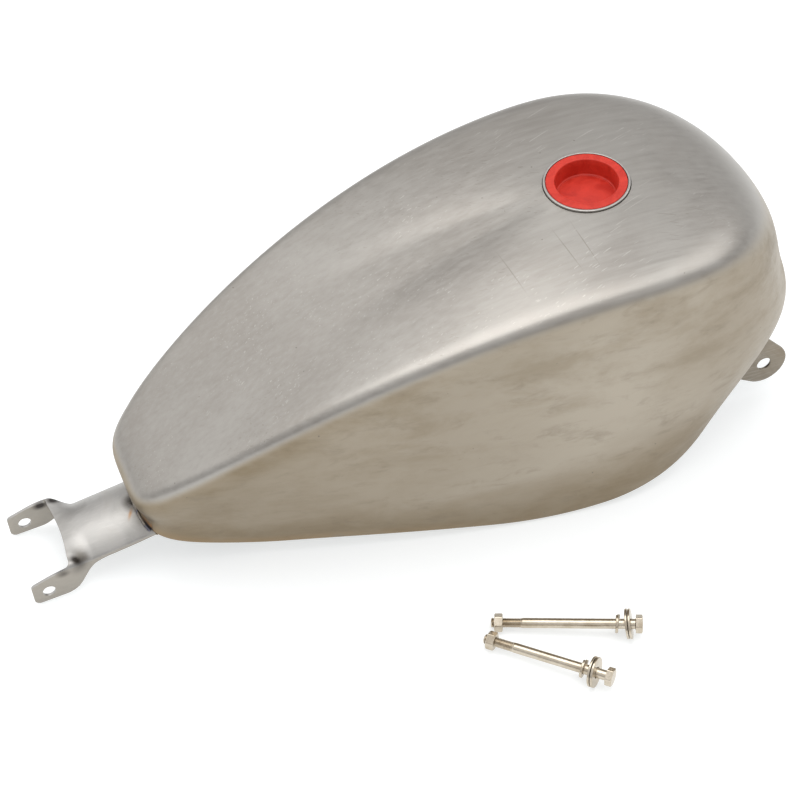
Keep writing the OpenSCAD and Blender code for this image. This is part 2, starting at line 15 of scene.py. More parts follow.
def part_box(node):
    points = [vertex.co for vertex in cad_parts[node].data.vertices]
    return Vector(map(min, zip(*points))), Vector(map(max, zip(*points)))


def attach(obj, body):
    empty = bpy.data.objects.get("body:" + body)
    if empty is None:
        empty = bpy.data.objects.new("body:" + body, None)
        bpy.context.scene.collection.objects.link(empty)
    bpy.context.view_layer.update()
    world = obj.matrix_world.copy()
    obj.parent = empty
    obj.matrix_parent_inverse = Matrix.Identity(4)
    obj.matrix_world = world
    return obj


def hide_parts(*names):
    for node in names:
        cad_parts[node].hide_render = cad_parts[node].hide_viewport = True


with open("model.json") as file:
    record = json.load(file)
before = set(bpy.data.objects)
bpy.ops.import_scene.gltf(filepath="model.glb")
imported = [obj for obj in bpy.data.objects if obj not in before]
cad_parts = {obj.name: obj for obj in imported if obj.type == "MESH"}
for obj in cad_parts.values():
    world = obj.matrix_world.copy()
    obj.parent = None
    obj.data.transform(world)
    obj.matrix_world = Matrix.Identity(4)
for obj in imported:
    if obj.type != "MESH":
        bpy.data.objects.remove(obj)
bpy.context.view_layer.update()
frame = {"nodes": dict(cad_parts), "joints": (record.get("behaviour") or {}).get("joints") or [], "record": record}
MM = 0.001
JOINTS = {joint["name"]: joint for joint in frame["joints"]}
MOUNTS = {mount["name"]: mount for mount in frame["record"]["mounts"]}

# ---- sizes, millimetres, tank frame
HOLE_X = 77.5            # rear holes behind the tail tip
HOLE_Z = 47.0            # rear holes over the tank frame's zero
SHEET = 1.5
TANK = dict(start=1.1, length=550.0, wide_x=399.0, half_width=123.0, nose_power=2.3, tail_power=6.45,
            tail_share=0.485, taper=1.57, nose_share=1.0)
EDGE = dict(start=7.6, length=526.0, wide_x=377.0, half_width=109.5, nose_power=2.2,
            tail_power=2.8, tail_share=0.466, taper=1.35, nose_share=0.75, flare=0.443)
TAIL_Z, NOSE_Z, SHOULDER_BOW, CROWN = 111.6, 222.7, 68.9, 6.5
SHOULDER_R, NOSE_R, SIDE_HOLLOW, PROW = 30.0, 84.0, 5.0, 49.5
TAIL_R, TAIL_SPAN = 36.0, 4.0
EDGE_TAIL_Z, EDGE_FRONT_Z, EDGE_BOW, EDGE_RISE = 43.0, -54.0, 17.0, 94.0
EDGE_LINE_X, EDGE_LIFT, EDGE_LIFT_X, FLARE_POWER = 19.0, 23.0, 114.0, 10.2
HEM, LIP, FOLD_R, GAP = 7.0, 20.0, 2.6, 0.2
FILLER_X, NECK_R, NECK_BORE_R, NECK_DEPTH = 404.5, 33.8, 26.0, 24.0
PLUG_R, PLUG_DEPTH, PLUG_WALL = 31.6, 15.0, 1.5
NECK_RIM, NECK_SEAT = 1.1, -1.2      # heights over the skin at the filler
PASSAGE_PLAY = 0.8                   # beside what passes through the skin
EAR_IN, EAR_T = 36.4, 2.3
EAR_OUT = EAR_IN + EAR_T
SADDLE_HALF, ARCH_RISE, ARCH_EDGE_Z, SPINE_PITCH = 31.3, 13.0, 54.9, math.radians(6.3)
ARCH_R = (SADDLE_HALF ** 2 + ARCH_RISE ** 2) / (2 * ARCH_RISE)
SADDLE_REAR_X, SADDLE_FRONT_X = -55.0, 34.0
FLANGE_FRONT_X = 458.0
FRONT_HOLE = (547.0, 18.5)
FRONT_EAR_R = 20.4
SPOKES, ROWS = ((300, 130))


# ---- mesh helpers
def new_object(name, mesh, body, node, material):
    """Links a piece, lets it ride on its body and stand for its CAD node."""
    piece = bpy.data.objects.new(name, mesh)
    bpy.context.scene.collection.objects.link(piece)
    mesh.materials.append(material)
    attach(piece, body)
    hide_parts(node)
    return piece


def smooth(mesh, sharp_deg=32.0):
    mesh.shade_smooth()
    mesh.set_sharp_from_angle(angle=math.radians(sharp_deg))


def mesh_from(name, points, faces):
    mesh = bpy.data.meshes.new(name)
    mesh.from_pydata([tuple(p) for p in points], [], faces)
    mesh.validate()
    return mesh


def face_outward(mesh, weld=0.0):
    """Points every face outward, after joining points closer than weld (metres)."""
    clean = bmesh.new()
    clean.from_mesh(mesh)
    if weld:
        bmesh.ops.remove_doubles(clean, verts=clean.verts, dist=weld)
    bmesh.ops.recalc_face_normals(clean, faces=clean.faces)
    clean.to_mesh(mesh)
    clean.free()


def round_corners(corners, steps=6):
    """Outline [(x, y, radius)] with arcs at its corners, as [(x, y)]."""
    made = []
    for i, (x, y, radius) in enumerate(corners):
        here = Vector((x, y))
        if radius == 0:
            made.append(here)
            continue
        u = (Vector(corners[i - 1][:2]) - here).normalized()
        v = (Vector(corners[(i + 1) % len(corners)][:2]) - here).normalized()
        half = u.angle(v) / 2
        centre = here + (u + v).normalized() * radius / math.sin(half)
        start = here + u * radius / math.tan(half) - centre
        turn = (here + v * radius / math.tan(half) - centre).angle_signed(start)
        for k in range(steps + 1):
            angle = turn * k / steps
            c, s = math.cos(angle), math.sin(angle)
            made.append(centre + Vector((c * start.x - s * start.y, s * start.x + c * start.y)))
    return [(p.x, p.y) for p in made]


def lathe_rings(profile, segments, wave=None):
    """Points and faces of a closed profile [(r, z)] turned about Z; wave(r, z, angle) moves a point."""
    points, faces = [], []
    count = len(profile)
    for i in range(segments):
        angle = 2 * math.pi * i / segments
        for r, z in profile:
            if wave:
                r, z = wave(r, z, angle)
            points.append((r * math.cos(angle), r * math.sin(angle), z))
    for i in range(segments):
        for j in range(count):
            a, b = i * count + j, i * count + (j + 1) % count
            c, d = (i + 1) % segments * count + (j + 1) % count, (i + 1) % segments * count + j
            faces.append((a, d, c, b))
    return points, faces


def lathe(name, profile, place, segments=160, sharp=32.0, wave=None):
    """Turned solid from a closed profile in millimetres, placed by a matrix in metres."""
    points, faces = lathe_rings(profile, segments, wave)
    mesh = mesh_from(name, [place @ (Vector(p) * MM) for p in points], faces)
    face_outward(mesh, weld=1e-7)
    smooth(mesh, sharp)
    return mesh


# ---- the skin's loft
def mix(a, b, t):
    return a + (b - a) * t


def shoulder_z(x):
    u = x / TANK["length"]
    return mix(TAIL_Z, NOSE_Z, u) + 4 * SHOULDER_BOW * u * (1 - u)


def edge_z(x):
    u = (x - EDGE_LINE_X) / (EDGE["length"] - EDGE_LINE_X)
    rise = np.clip(2 * u - 1, 0, 1) ** 2
    lift = np.clip((EDGE_LIFT_X - x) / (EDGE_LIFT_X - EDGE["start"]), 0, 1) ** 2
    line = mix(EDGE_TAIL_Z, EDGE_FRONT_Z, u) + 4 * EDGE_BOW * u * (1 - u)
    return line + EDGE_RISE * rise + EDGE_LIFT * lift


def teardrop(phi, shape):
    """Plan view of a rounded teardrop; phi 0 is the nose and pi the tail."""
    start, end, wide = shape.get("start", 0.0), shape["length"], shape["wide_x"]
    fore_side = np.cos(phi) >= 0
    power = 2 / np.where(fore_side, shape["nose_power"], shape["tail_power"])
    reach = np.abs(np.cos(phi)) ** power
    x = wide + np.where(fore_side, end - wide, start - wide) * reach
    aft = np.clip((wide - x) / (wide - start), 0, 1)
    fore = np.clip((x - wide) / (end - wide), 0, 1)
    y = shape["half_width"] * np.abs(np.sin(phi)) ** power
    y = y * (1 - (1 - shape["tail_share"]) * aft ** shape["taper"]
             + shape.get("flare", 0.0) * aft ** FLARE_POWER)
    return x, y * (1 - (1 - shape["nose_share"]) * fore ** 2.5)


def even_angles(count):
    """Angles that space the spokes evenly round the shoulder line, nose to tail."""
    turn = np.linspace(0, math.pi, count + 1)
    fore = turn <= math.pi / 2
    power = np.where(fore, TANK["nose_power"], TANK["tail_power"]) / 2
    phi = np.arctan2(np.abs(np.sin(turn)) ** power, np.abs(np.cos(turn)) ** power)
    return np.where(fore, phi, math.pi - phi)


def spokes(phi):
    """Nine control points for each spoke, from the filler's hole to the lower edge."""
    px, py = teardrop(phi, TANK)
    qx, qy = teardrop(phi, EDGE)
    p = np.stack([px, py, shoulder_z(px)], -1)
    q = np.stack([qx, qy, edge_z(qx)], -1)
    d = np.hypot(px - FILLER_X, py)
    e = np.stack([(px - FILLER_X) / d, py / d, 0 * d], -1)
    nose = np.clip(np.cos(phi), 0, 1) ** 2
    tail = np.clip(-np.cos(phi), 0, 1) ** TAIL_SPAN
    r = mix(mix(SHOULDER_R, NOSE_R, nose), TAIL_R, tail)
    hole = NECK_R + 0.5
    flat = (d - r - hole) / 3
    a = np.clip(r / np.linalg.norm(q - p, axis=-1), 0.05, 0.45)[:, None]

    def top(radius):
        x = FILLER_X + e[:, 0] * radius
        return np.stack([x, e[:, 1] * radius, shoulder_z(x) + CROWN * (1 - (radius / d) ** 2)], -1)

    bulge = (PROW * nose)[:, None] * e
    return np.stack([
        top(np.full_like(d, hole)), top(hole + flat), top(hole + 2 * flat), top(d - r), p,
        mix(p, q, a) + bulge * 0.4,
        mix(p, q, mix(a, 1, 0.4)) + bulge - e * SIDE_HOLLOW,
        mix(p, q, mix(a, 1, 0.75)) + bulge * 0.65, q], 1)


KNOTS = np.array([0, 0, 0, 0, 1, 2, 3, 4, 5, 6, 6, 6, 6]) / 6


def spline(control, t):
    """Points of the clamped cubic splines at t, an array of one row per spoke."""
    t = np.clip(t, 0, 1 - 1e-9)
    basis = [((t >= KNOTS[i]) & (t < KNOTS[i + 1])).astype(float) for i in range(12)]
    for degree in (1, 2, 3):
        following = []
        for i in range(12 - degree):
            left, right = KNOTS[i + degree] - KNOTS[i], KNOTS[i + degree + 1] - KNOTS[i + 1]
            value = 0 * t
            if left > 0:
                value = value + (t - KNOTS[i]) / left * basis[i]
            if right > 0:
                value = value + (KNOTS[i + degree + 1] - t) / right * basis[i + 1]
            following.append(value)
        basis = following
    return np.einsum("nmk,nkc->nmc", np.stack(basis, -1), control)


def arch_z(x, y):
    """Outer surface of the saddle and the tunnel."""
    side = ARCH_EDGE_Z + (x - SADDLE_REAR_X) * math.tan(SPINE_PITCH)
    return side - (ARCH_R - ARCH_RISE) + np.sqrt(np.clip(ARCH_R ** 2 - y * y, 0, None))


def pass_half(x):
    """Half width of the passage that the skin leaves to the saddle, the tunnel or the front ears."""
    half = np.where(x > FLANGE_FRONT_X - 2, EAR_OUT, SADDLE_HALF - EAR_T - GAP)
    return PASSAGE_PLAY + np.where(x < SADDLE_FRONT_X + 4, SADDLE_HALF, half)


def in_passage(p):
    """True where the tunnel or a bracket passes through the skin."""
    x, y, z = p[..., 0], p[..., 1], p[..., 2]
    return (np.abs(y) < pass_half(x)) & (z < arch_z(x, y) + 1)


def skin_ends(control):
    """Place along each spoke where the skin ends: 1, or where it meets the passage."""
    count = len(control)
    cut = in_passage(spline(control, np.ones((count, 1))))[:, 0]
    low, high = np.full(count, 0.5), np.ones(count)
    for _ in range(20):
        middle = (low + high) / 2
        inside = in_passage(spline(control, middle[:, None]))[:, 0]
        high = np.where(inside, middle, high)
        low = np.where(inside, low, middle)
    return np.where(cut, low, 1.0)


UPPER_SHARE, ROW_SPLIT = 0.62, 0.6


def skin_grid():
    """Outer skin points of one half, each point's place down the side, and where the skin ends on each spoke."""
    phi = even_angles(SPOKES)
    control = spokes(phi)
    end = skin_ends(control)
    speed = np.linalg.norm(spline(control, end[:, None])[:, 0]
                           - spline(control, end[:, None] - 0.01)[:, 0], axis=-1) / 0.01
    fold_start = end - FOLD_R / speed
    upper = np.linspace(0, ROW_SPLIT, round(ROWS * UPPER_SHARE) + 1)[:-1]
    lower = np.linspace(0, 1, round(ROWS * (1 - UPPER_SHARE)))
    t = np.concatenate([np.tile(upper, (len(phi), 1)),
                        mix(ROW_SPLIT, fold_start[:, None], lower[None])], 1)
    body = spline(control, t)
    last = spline(control, end[:, None])[:, 0]
    qx, qy = teardrop(phi, EDGE)
    along = np.stack([np.gradient(qx), np.gradient(qy)], -1)
    along /= np.linalg.norm(along, axis=-1)[:, None]
    hem = np.stack([-along[:, 1], along[:, 0], 0 * qx], -1) * HEM
    room = last[:, 1] - pass_half(last[:, 0]) - GAP
    crowded = hem[:, 1] < -room
    hem *= np.where(crowded, np.clip(-room / np.where(crowded, hem[:, 1], 1), 0.1, 1), 1)[:, None]
    inner_x = last[:, 0] + hem[:, 0]
    hem[:, 2] = edge_z(inner_x) - last[:, 2]
    side = -np.sign(np.cos(phi))
    lip = np.stack([side * LIP, 0 * side, side * LIP * math.tan(SPINE_PITCH)], -1)
    inward = np.where((end < 1)[:, None], lip, hem)
    reach = np.linalg.norm(inward, axis=-1)[:, None]
    fold = []
    for k in (1, 2, 3, 4):
        s = k / 4
        fold.append((1 - s) ** 2 * body[:, -1] + 2 * s * (1 - s) * last
                    + s * s * (last + inward / reach * FOLD_R))
    flat = [last + inward * f for f in (0.5, 1.0)]
    grid = np.concatenate([body, np.stack(fold + flat, 1)], 1)
    down = np.concatenate([t, np.tile(end[:, None], (1, len(fold) + len(flat)))], 1)
    return grid, down, end


def grid_normals(grid):
    """Unit normals of a half grid whose mirror image completes it."""
    mirror = np.array([1.0, -1.0, 1.0])
    full = np.concatenate([grid[1:2] * mirror, grid, grid[-2:-1] * mirror])
    along = full[2:] - full[:-2]
    down = np.gradient(grid, axis=1)
    normal = np.cross(down, along)
    return normal / np.linalg.norm(normal, axis=-1)[..., None]


def skin_mesh(name, side):
    """Closed sheet of one half; side is +1 for the left and -1 for the right."""
    outer, down, end = skin_grid()
    normal = grid_normals(outer)
    inner = outer - normal * SHEET
    lines, wide = outer.shape[:2]
    points = np.concatenate([outer.reshape(-1, 3), inner.reshape(-1, 3)])
    normals = np.concatenate([normal.reshape(-1, 3), -normal.reshape(-1, 3)])
    points[:, 1] *= side
    normals[:, 1] *= side
    count = lines * wide
    faces = []
    for i in range(lines - 1):
        for j in range(wide - 1):
            a, b = i * wide + j, (i + 1) * wide + j
            faces.append((a, a + 1, b + 1, b))
            faces.append((a + count, b + count, b + 1 + count, a + 1 + count))
    rims = [(i * wide + j, (i + 1) * wide + j, turn)
            for i in range(lines - 1) for j, turn in ((0, 1), (wide - 1, -1))]
    rims += [(i * wide + j, i * wide + j + 1, turn)
             for j in range(wide - 1) for i, turn in ((0, -1), (lines - 1, 1))]
    faces += [(a, b, b + count, a + count)[::turn] for a, b, turn in rims]
    if side < 0:
        faces = [face[::-1] for face in faces]
    mesh = bpy.data.meshes.new(name)
    mesh.from_pydata(in_row(points).tolist(), [], faces)
    mesh.shade_smooth()
    is_rim = np.arange(len(mesh.polygons)) >= 2 * (lines - 1) * (wide - 1)
    mesh.polygons.foreach_set("use_smooth", ~is_rim)
    loop_vertex = np.zeros(len(mesh.loops), np.int32)
    mesh.loops.foreach_get("vertex_index", loop_vertex)
    loop_normals = normals[loop_vertex]
    starts = np.zeros(len(mesh.polygons), np.int32)
    mesh.polygons.foreach_get("loop_start", starts)
    face_normals = np.zeros(len(mesh.polygons) * 3)
    mesh.polygons.foreach_get("normal", face_normals)
    face_normals = face_normals.reshape(-1, 3)
    for k in range(4):
        loop_normals[starts[is_rim] + k] = face_normals[is_rim]
    mesh.normals_split_custom_set(loop_normals.tolist())
    step = np.linalg.norm(np.diff(outer, axis=1), axis=-1)
    to_edge = np.concatenate([np.cumsum(step[:, ::-1], 1)[:, ::-1], np.zeros((lines, 1))], 1)
    for key, values in (("down", down), ("to_edge", to_edge * MM),
                        ("cut", np.tile((end < 1)[:, None], (1, wide)).astype(float))):
        attribute = mesh.attributes.new(key, "FLOAT", "POINT")
        attribute.data.foreach_set("value", np.tile(values.ravel(), 2).astype(np.float32))
    return mesh


# ---- bent plates
def blank(outline, holes, cuts):
    """Flat sheet in (x, s) with round holes [(x, s, r)], cut along lines [(point, normal)]."""
    sheet = bmesh.new()
    loops = [outline]
    for cx, cy, r in holes:
        loops.append([(cx + r * math.cos(k * math.pi / 24), cy + r * math.sin(k * math.pi / 24))
                      for k in range(48)])
    edges = []
    for loop in loops:
        ring = [sheet.verts.new((x, y, 0)) for x, y in loop]
        edges += [sheet.edges.new((ring[i - 1], ring[i])) for i in range(len(ring))]
    bmesh.ops.triangle_fill(sheet, use_beauty=True, edges=edges, normal=(0, 0, 1))
    for point, normal in cuts:
        everything = sheet.verts[:] + sheet.edges[:] + sheet.faces[:]
        bmesh.ops.bisect_plane(sheet, geom=everything, plane_co=(*point, 0), plane_no=(*normal, 0), dist=1e-4)
    return sheet


def plate_object(name, sheet, form, thickness, body, node, material, edge=0.35):
    """Gives a blank its thickness, bends it with form(x, s, depth) and rounds its edges."""
    top = [v.co.copy() for v in sheet.verts]
    index = {v: i for i, v in enumerate(sheet.verts)}
    count = len(top)
    points = [form(p.x, p.y, 0.0) for p in top] + [form(p.x, p.y, thickness) for p in top]
    faces = []
    for face in sheet.faces:
        ring = [index[v] for v in face.verts]
        faces.append(ring)
        faces.append([i + count for i in reversed(ring)])
    for e in sheet.edges:
        if len(e.link_faces) == 1:
            a, b = (index[v] for v in e.verts)
            faces.append([a, b, b + count, a + count])
    sheet.free()
    mesh = mesh_from(name, in_row(points), faces)
    clean = bmesh.new()
    clean.from_mesh(mesh)
    bmesh.ops.recalc_face_normals(clean, faces=clean.faces)
    bmesh.ops.dissolve_limit(clean, angle_limit=math.radians(0.4), verts=clean.verts, edges=clean.edges)
    sharp = [e for e in clean.edges if len(e.link_faces) == 2 and e.calc_face_angle() > math.radians(55)]
    bmesh.ops.bevel(clean, geom=sharp, offset=edge * MM, offset_type="OFFSET", segments=3,
                    profile=0.5, affect="EDGES", clamp_overlap=True)
    clean.to_mesh(mesh)
    clean.free()
    smooth(mesh, 28.0)
    return new_object(name, mesh, body, node, material)


# The saddle's sheet runs from the ears' wide, flat rear rim to the narrow arch under the tail.
ARC_S, BEND_S, BEND_R = 36.0, 8.0, 5.0
SIDE_S = ARC_S + BEND_S
RIM_X, RIM_Z, RIM_RISE, ARCH_X = -56.0, 67.0, 2.0, -36.0
TIP_X = -HOLE_X - 13.0
SIDE_LOW = ((-64, 37), (-61, 37.5), (-58, 38.6), (-55, 40.1), (-51, 42.7), (-47, 45.7), (-43, 48.6),
            (-39, 51), (-35, 52.9), (-31, 54.2), (-26, 55.2), (-16, 56.3), (0, 58.2), (17, 61), (34, 62.9))


def saddle_at(x):
    """Arch radius, centre height, angle where the bend begins, and half width of the section at x."""
    share = min(1.0, max(0.0, (ARCH_X - x) / (ARCH_X - RIM_X)))
    share = share * share * (3 - 2 * share)
    half = mix(SADDLE_HALF, EAR_OUT, share)
    rise = mix(ARCH_RISE, RIM_RISE, share)
    edge = mix(ARCH_EDGE_Z + (x - SADDLE_REAR_X) * math.tan(SPINE_PITCH), RIM_Z, share)
    radius = (half ** 2 + rise ** 2) / (2 * rise)
    return radius, edge + rise - radius, math.asin((half - BEND_R) / (radius - BEND_R)), half


def side_top(x):
    """Height at which the bend ends and the straight side begins."""
    radius, centre_z, angle, _ = saddle_at(x)
    return centre_z + (radius - BEND_R) * math.cos(angle)


def unrolled(x, z):
    """Place on the saddle's flat blank of a point of its side, given in x and z."""
    return x, SIDE_S + side_top(x) - z


def saddle_form(x, s, depth):
    """Bends the blank into place: arch, bend and straight side."""
    radius, centre_z, angle, half = saddle_at(x)
    sign = -1.0 if s < 0 else 1.0
    s = abs(s)
    if s <= ARC_S:
        turn = angle * s / ARC_S
        return x, sign * (radius - depth) * math.sin(turn), centre_z + (radius - depth) * math.cos(turn)
    cy, cz = (radius - BEND_R) * math.sin(angle), centre_z + (radius - BEND_R) * math.cos(angle)
    if s < SIDE_S:
        turn = mix(angle, math.pi / 2, (s - ARC_S) / BEND_S)
        return x, sign * (cy + (BEND_R - depth) * math.sin(turn)), cz + (BEND_R - depth) * math.cos(turn)
    return x, sign * (half - depth), cz - (s - SIDE_S)


def saddle_outline():
    """Blank of the saddle: half outline from the rear rim round the ear to the front, then its mirror."""
    half = [(RIM_X - 1 + 2.4 * math.cos(math.pi * s / 64), s, 0) for s in range(0, 31, 2)]
    half += [(*unrolled(RIM_X - 1, RIM_Z), 7.0), (*unrolled(TIP_X, 57.0), 4.0),
             (*unrolled(TIP_X, 36.5), 5.0)]
    lows = np.array(SIDE_LOW)
    half += [(*unrolled(x, float(np.interp(x, lows[:, 0], lows[:, 1]))), 0) for x in range(-64, 34, 2)]
    half.append((*unrolled(SADDLE_FRONT_X, SIDE_LOW[-1][1]), 0))
    mirrored = [(x, -s, r) for x, s, r in reversed(half[1:])]
    return round_corners(half + mirrored, 8)


def make_saddle(material):
    arch_lines = [ARC_S * k / 24 for k in range(25)]
    bend_lines = [ARC_S + BEND_S * k / 8 for k in range(1, 9)]
    lengthwise = sorted({round(sign * s, 5) for s in arch_lines + bend_lines for sign in (-1, 1)})
    cuts = [((0, s), (0, 1)) for s in lengthwise]
    cuts += [((RIM_X + k, 0), (1, 0)) for k in range(0, 21)]
    hole_x, hole_s = unrolled(-HOLE_X, HOLE_Z)
    r = MOUNTS["rear_mount"]["dims"]["r_mm"]
    sheet = blank(saddle_outline(), [(hole_x, hole_s, r), (hole_x, -hole_s, r)], cuts)
    return plate_object("saddle_bracket", sheet, saddle_form, EAR_T, "tank", "rear_saddle",
                        material)


def make_front_ear(name, node, side, material):
    """Ear with a round end, and a foot bent in along its straight edge to the tunnel's side."""
    cx, cz = FRONT_HOLE
    low, high = Vector((467.0, 50.0)), Vector((516.0, 90.0))
    along = (high - low).normalized()
    up = Vector((-along.y, along.x))
    bend, tunnel_out = 4.0, SADDLE_HALF - EAR_T - GAP
    arc_len = bend * math.pi / 2
    foot_len = EAR_OUT - tunnel_out - GAP - 2 * bend + arc_len
    arc = [(cx + FRONT_EAR_R * math.cos(math.radians(a)), cz + FRONT_EAR_R * math.sin(math.radians(a)))
           for a in range(236, 400, 4)]
    outline = arc + [tuple(high), tuple(high + up * foot_len), tuple(low + up * foot_len), tuple(low)]
    cuts = [(tuple(low + up * (arc_len * k / 6 - bend)), tuple(up)) for k in range(7)]
    sheet = blank(outline, [(cx, cz, MOUNTS["front_mount"]["dims"]["r_mm"])], cuts)

    def form(x, z, depth):
        point = Vector((x, z))
        t = (point - low).dot(up)
        if t <= -bend:
            return x, side * (EAR_OUT - depth), z
        on_line = point - up * t
        turn = min(1.0, (t + bend) / arc_len) * math.pi / 2
        rest = max(0.0, t + bend - arc_len)
        place = on_line + up * ((bend - depth) * math.sin(turn) - bend)
        return place.x, side * (EAR_OUT - bend + (bend - depth) * math.cos(turn) - rest), place.y

    return plate_object(name, sheet, form, EAR_T, "tank", node, material)


# ---- places
FRONT_MOUNT = Vector(MOUNTS["front_mount"]["pos_m"])
REST_PITCH = math.atan2(FRONT_MOUNT.z, FRONT_MOUNT.x) - math.atan2(
    FRONT_HOLE[1] - HOLE_Z, FRONT_HOLE[0] + HOLE_X)
TANK_PLACE = Matrix.Rotation(-REST_PITCH, 4, "Y") @ Matrix.Translation((HOLE_X * MM, 0, -HOLE_Z * MM))


def in_row(points):
    """Tank frame in millimetres to the row frame in metres."""
    matrix = np.array(TANK_PLACE)
    return np.asarray(points, float) * MM @ matrix[:3, :3].T + matrix[:3, 3]


def slope_of(height, x):
    return math.atan((height(x + 0.5) - height(x - 0.5)))


FILLER_PLACE = (TANK_PLACE @ Matrix.Translation((FILLER_X * MM, 0, (shoulder_z(FILLER_X) + CROWN) * MM))
                @ Matrix.Rotation(-slope_of(shoulder_z, FILLER_X), 4, "Y"))
SPUD = MOUNTS["petcock_spud"]


def axis_frame(origin, direction):
    """Matrix whose +Z runs along a direction, with a level X where that is possible."""
    z = Vector(direction).normalized()
    x = Vector((0, 0, 1)).cross(z)
    x = x.normalized() if x.length > 1e-3 else Vector((1, 0, 0))
    y = z.cross(x)
    matrix = Matrix((x, y, z)).transposed().to_4x4()
    matrix.translation = Vector(origin)
    return matrix


# ---- filler, outlet, weld
def make_neck(material):
    seat_r = PLUG_R + 0.4
    profile = round_corners([
        (NECK_BORE_R, -NECK_DEPTH, 0.3), (NECK_R, -NECK_DEPTH, 0.3), (NECK_R, NECK_RIM, 0.55),
        (seat_r, NECK_RIM, 0.4), (seat_r, NECK_SEAT, 0.2), (NECK_BORE_R, NECK_SEAT, 0.4)])
    mesh = lathe("neck_ring", profile, FILLER_PLACE, segments=192)
    return new_object("neck_ring", mesh, "tank", "filler_neck", material)


def make_plug(material):
    cup_r = NECK_BORE_R - 0.1
    inner_r = cup_r - PLUG_WALL
    floor_z = PLUG_WALL - PLUG_DEPTH
    profile = round_corners([
        (0, -PLUG_DEPTH, 0), (cup_r - 0.8, -PLUG_DEPTH, 1.0), (cup_r - 0.3, -1.1, 0.2),
        (PLUG_R, -1.1, 0.4), (PLUG_R, 1.1, 0.9), (inner_r + 0.4, 1.25, 0.9),
        (inner_r - 0.3, -3.0, 3.0), (inner_r - 0.9, floor_z + 0.9, 0.7), (inner_r - 1.9, floor_z + 0.6, 0.4),
        (inner_r - 2.3, floor_z, 0.4), (8.0, floor_z + 0.15, 4.0), (0, floor_z + 0.25, 0)])
    mesh = lathe("plug_cup", profile, FILLER_PLACE, segments=192)
    return new_object("plug_cup", mesh, "plug", "filler_plug", material)


def threaded(start, end, radius, pitch, depth, run_out):
    """Wave for lathe(): a helical groove between two heights, fading over run_out at its start."""
    def wave(r, z, angle):
        if abs(r - radius) > 1e-6 or not start < z < end:
            return r, z
        turn = (z / pitch - angle / (2 * math.pi)) % 1
        fade = min(1.0, (z - start) / run_out)
        return r - depth * fade * (1 - abs(2 * turn - 1)), z
    return wave


def make_spud(material):
    origin = Vector(SPUD["pos_m"])
    place = axis_frame(origin, -Vector(SPUD["axis"]))
    half, r = SPUD["dims"]["length_mm"] / 2, SPUD["dims"]["r_mm"]
    collar_top = half + 3.4
    thread_z = np.arange(-half + 0.2, half - 0.3, 0.16)
    profile = [(6.0, -half - 1), (r - 1, -half - 1), (r, -half)]
    profile += [(r, z) for z in thread_z] + [(r, half), (r + 0.6, half), (r + 0.6, collar_top + 1.7)]
    profile += [(r + 3.5, collar_top + 1.7), (r + 3.5, collar_top + 4.1), (6.0, collar_top + 4.1)]
    wave = threaded(-half, half - 0.3, r, 1.0, 0.55, 0.8)
    mesh = lathe("outlet_spud", profile, place, segments=96, wave=wave)
    return new_object("outlet_spud", mesh, "tank", "petcock_spud", material)


def make_saddle_weld(material):
    """Rippled bead in the corner between the saddle and the tail's skin."""
    phi = np.linspace(math.pi * 0.905, math.pi, 60)
    control = spokes(phi)
    end = skin_ends(control)
    line = spline(control, end[:, None])[:, 0]
    line = line[(end < 1) & (line[:, 1] < SADDLE_HALF - 1.5)]
    line = np.concatenate([line[:-1] * (1, -1, 1), line[::-1]])
    line = line[np.argsort(line[:, 1])]
    length = np.concatenate([[0], np.cumsum(np.linalg.norm(np.diff(line, axis=0), axis=-1))])
    stations = np.arange(0, length[-1], 0.3)
    path = np.stack([np.interp(stations, length, line[:, k]) for k in range(3)], -1)
    path[:, 0] -= 0.7
    path[:, 2] = arch_z(path[:, 0], path[:, 1]) + 0.7
    tangent = np.gradient(path, axis=0)
    tangent /= np.linalg.norm(tangent, axis=-1)[:, None]
    side = np.cross(tangent, (1.0, 0, 0))
    side /= np.linalg.norm(side, axis=-1)[:, None]
    other = np.cross(tangent, side)
    sides = 14
    points = []
    for i, s in enumerate(stations):
        ripple = 1.5 * (0.86 + 0.2 * abs(math.sin(s * math.pi / 1.7)) + 0.07 * math.sin(s * 1.3))
        ripple *= min(1.0, 0.35 + s / 2.5, 0.35 + (stations[-1] - s) / 2.5)
        for k in range(sides):
            a = 2 * math.pi * k / sides
            points.append(path[i] + ripple * (math.cos(a) * side[i] + math.sin(a) * other[i]))
    faces = [list(range(sides))[::-1], [(len(stations) - 1) * sides + k for k in range(sides)]]
    for i in range(len(stations) - 1):
        for k in range(sides):
            a, b = i * sides + k, i * sides + (k + 1) % sides
            faces.append((a, b, b + sides, a + sides))
    mesh = mesh_from("saddle_weld", in_row(points), faces)
    smooth(mesh, 60)
    return new_object("saddle_weld", mesh, "tank", "rear_saddle_weld", material)


# ---- bolt sets
FLATS, HEAD_H, NUT_H, BOLT_R, THREAD_PITCH = 13.0, 5.3, 6.6, 4.0, 1.25
THREAD_LENGTH, NUT_TIP = 25.0, 2.6
WASHER_R, WASHER_T, WASHER_BORE_R, LOCK_R, LOCK_T = 12.0, 1.8, 4.6, 7.4, 2.0
LEAN = {"front": (9.0, -6.0), "rear": (5.0, -5.0)}
HEX_SEGMENTS = 144


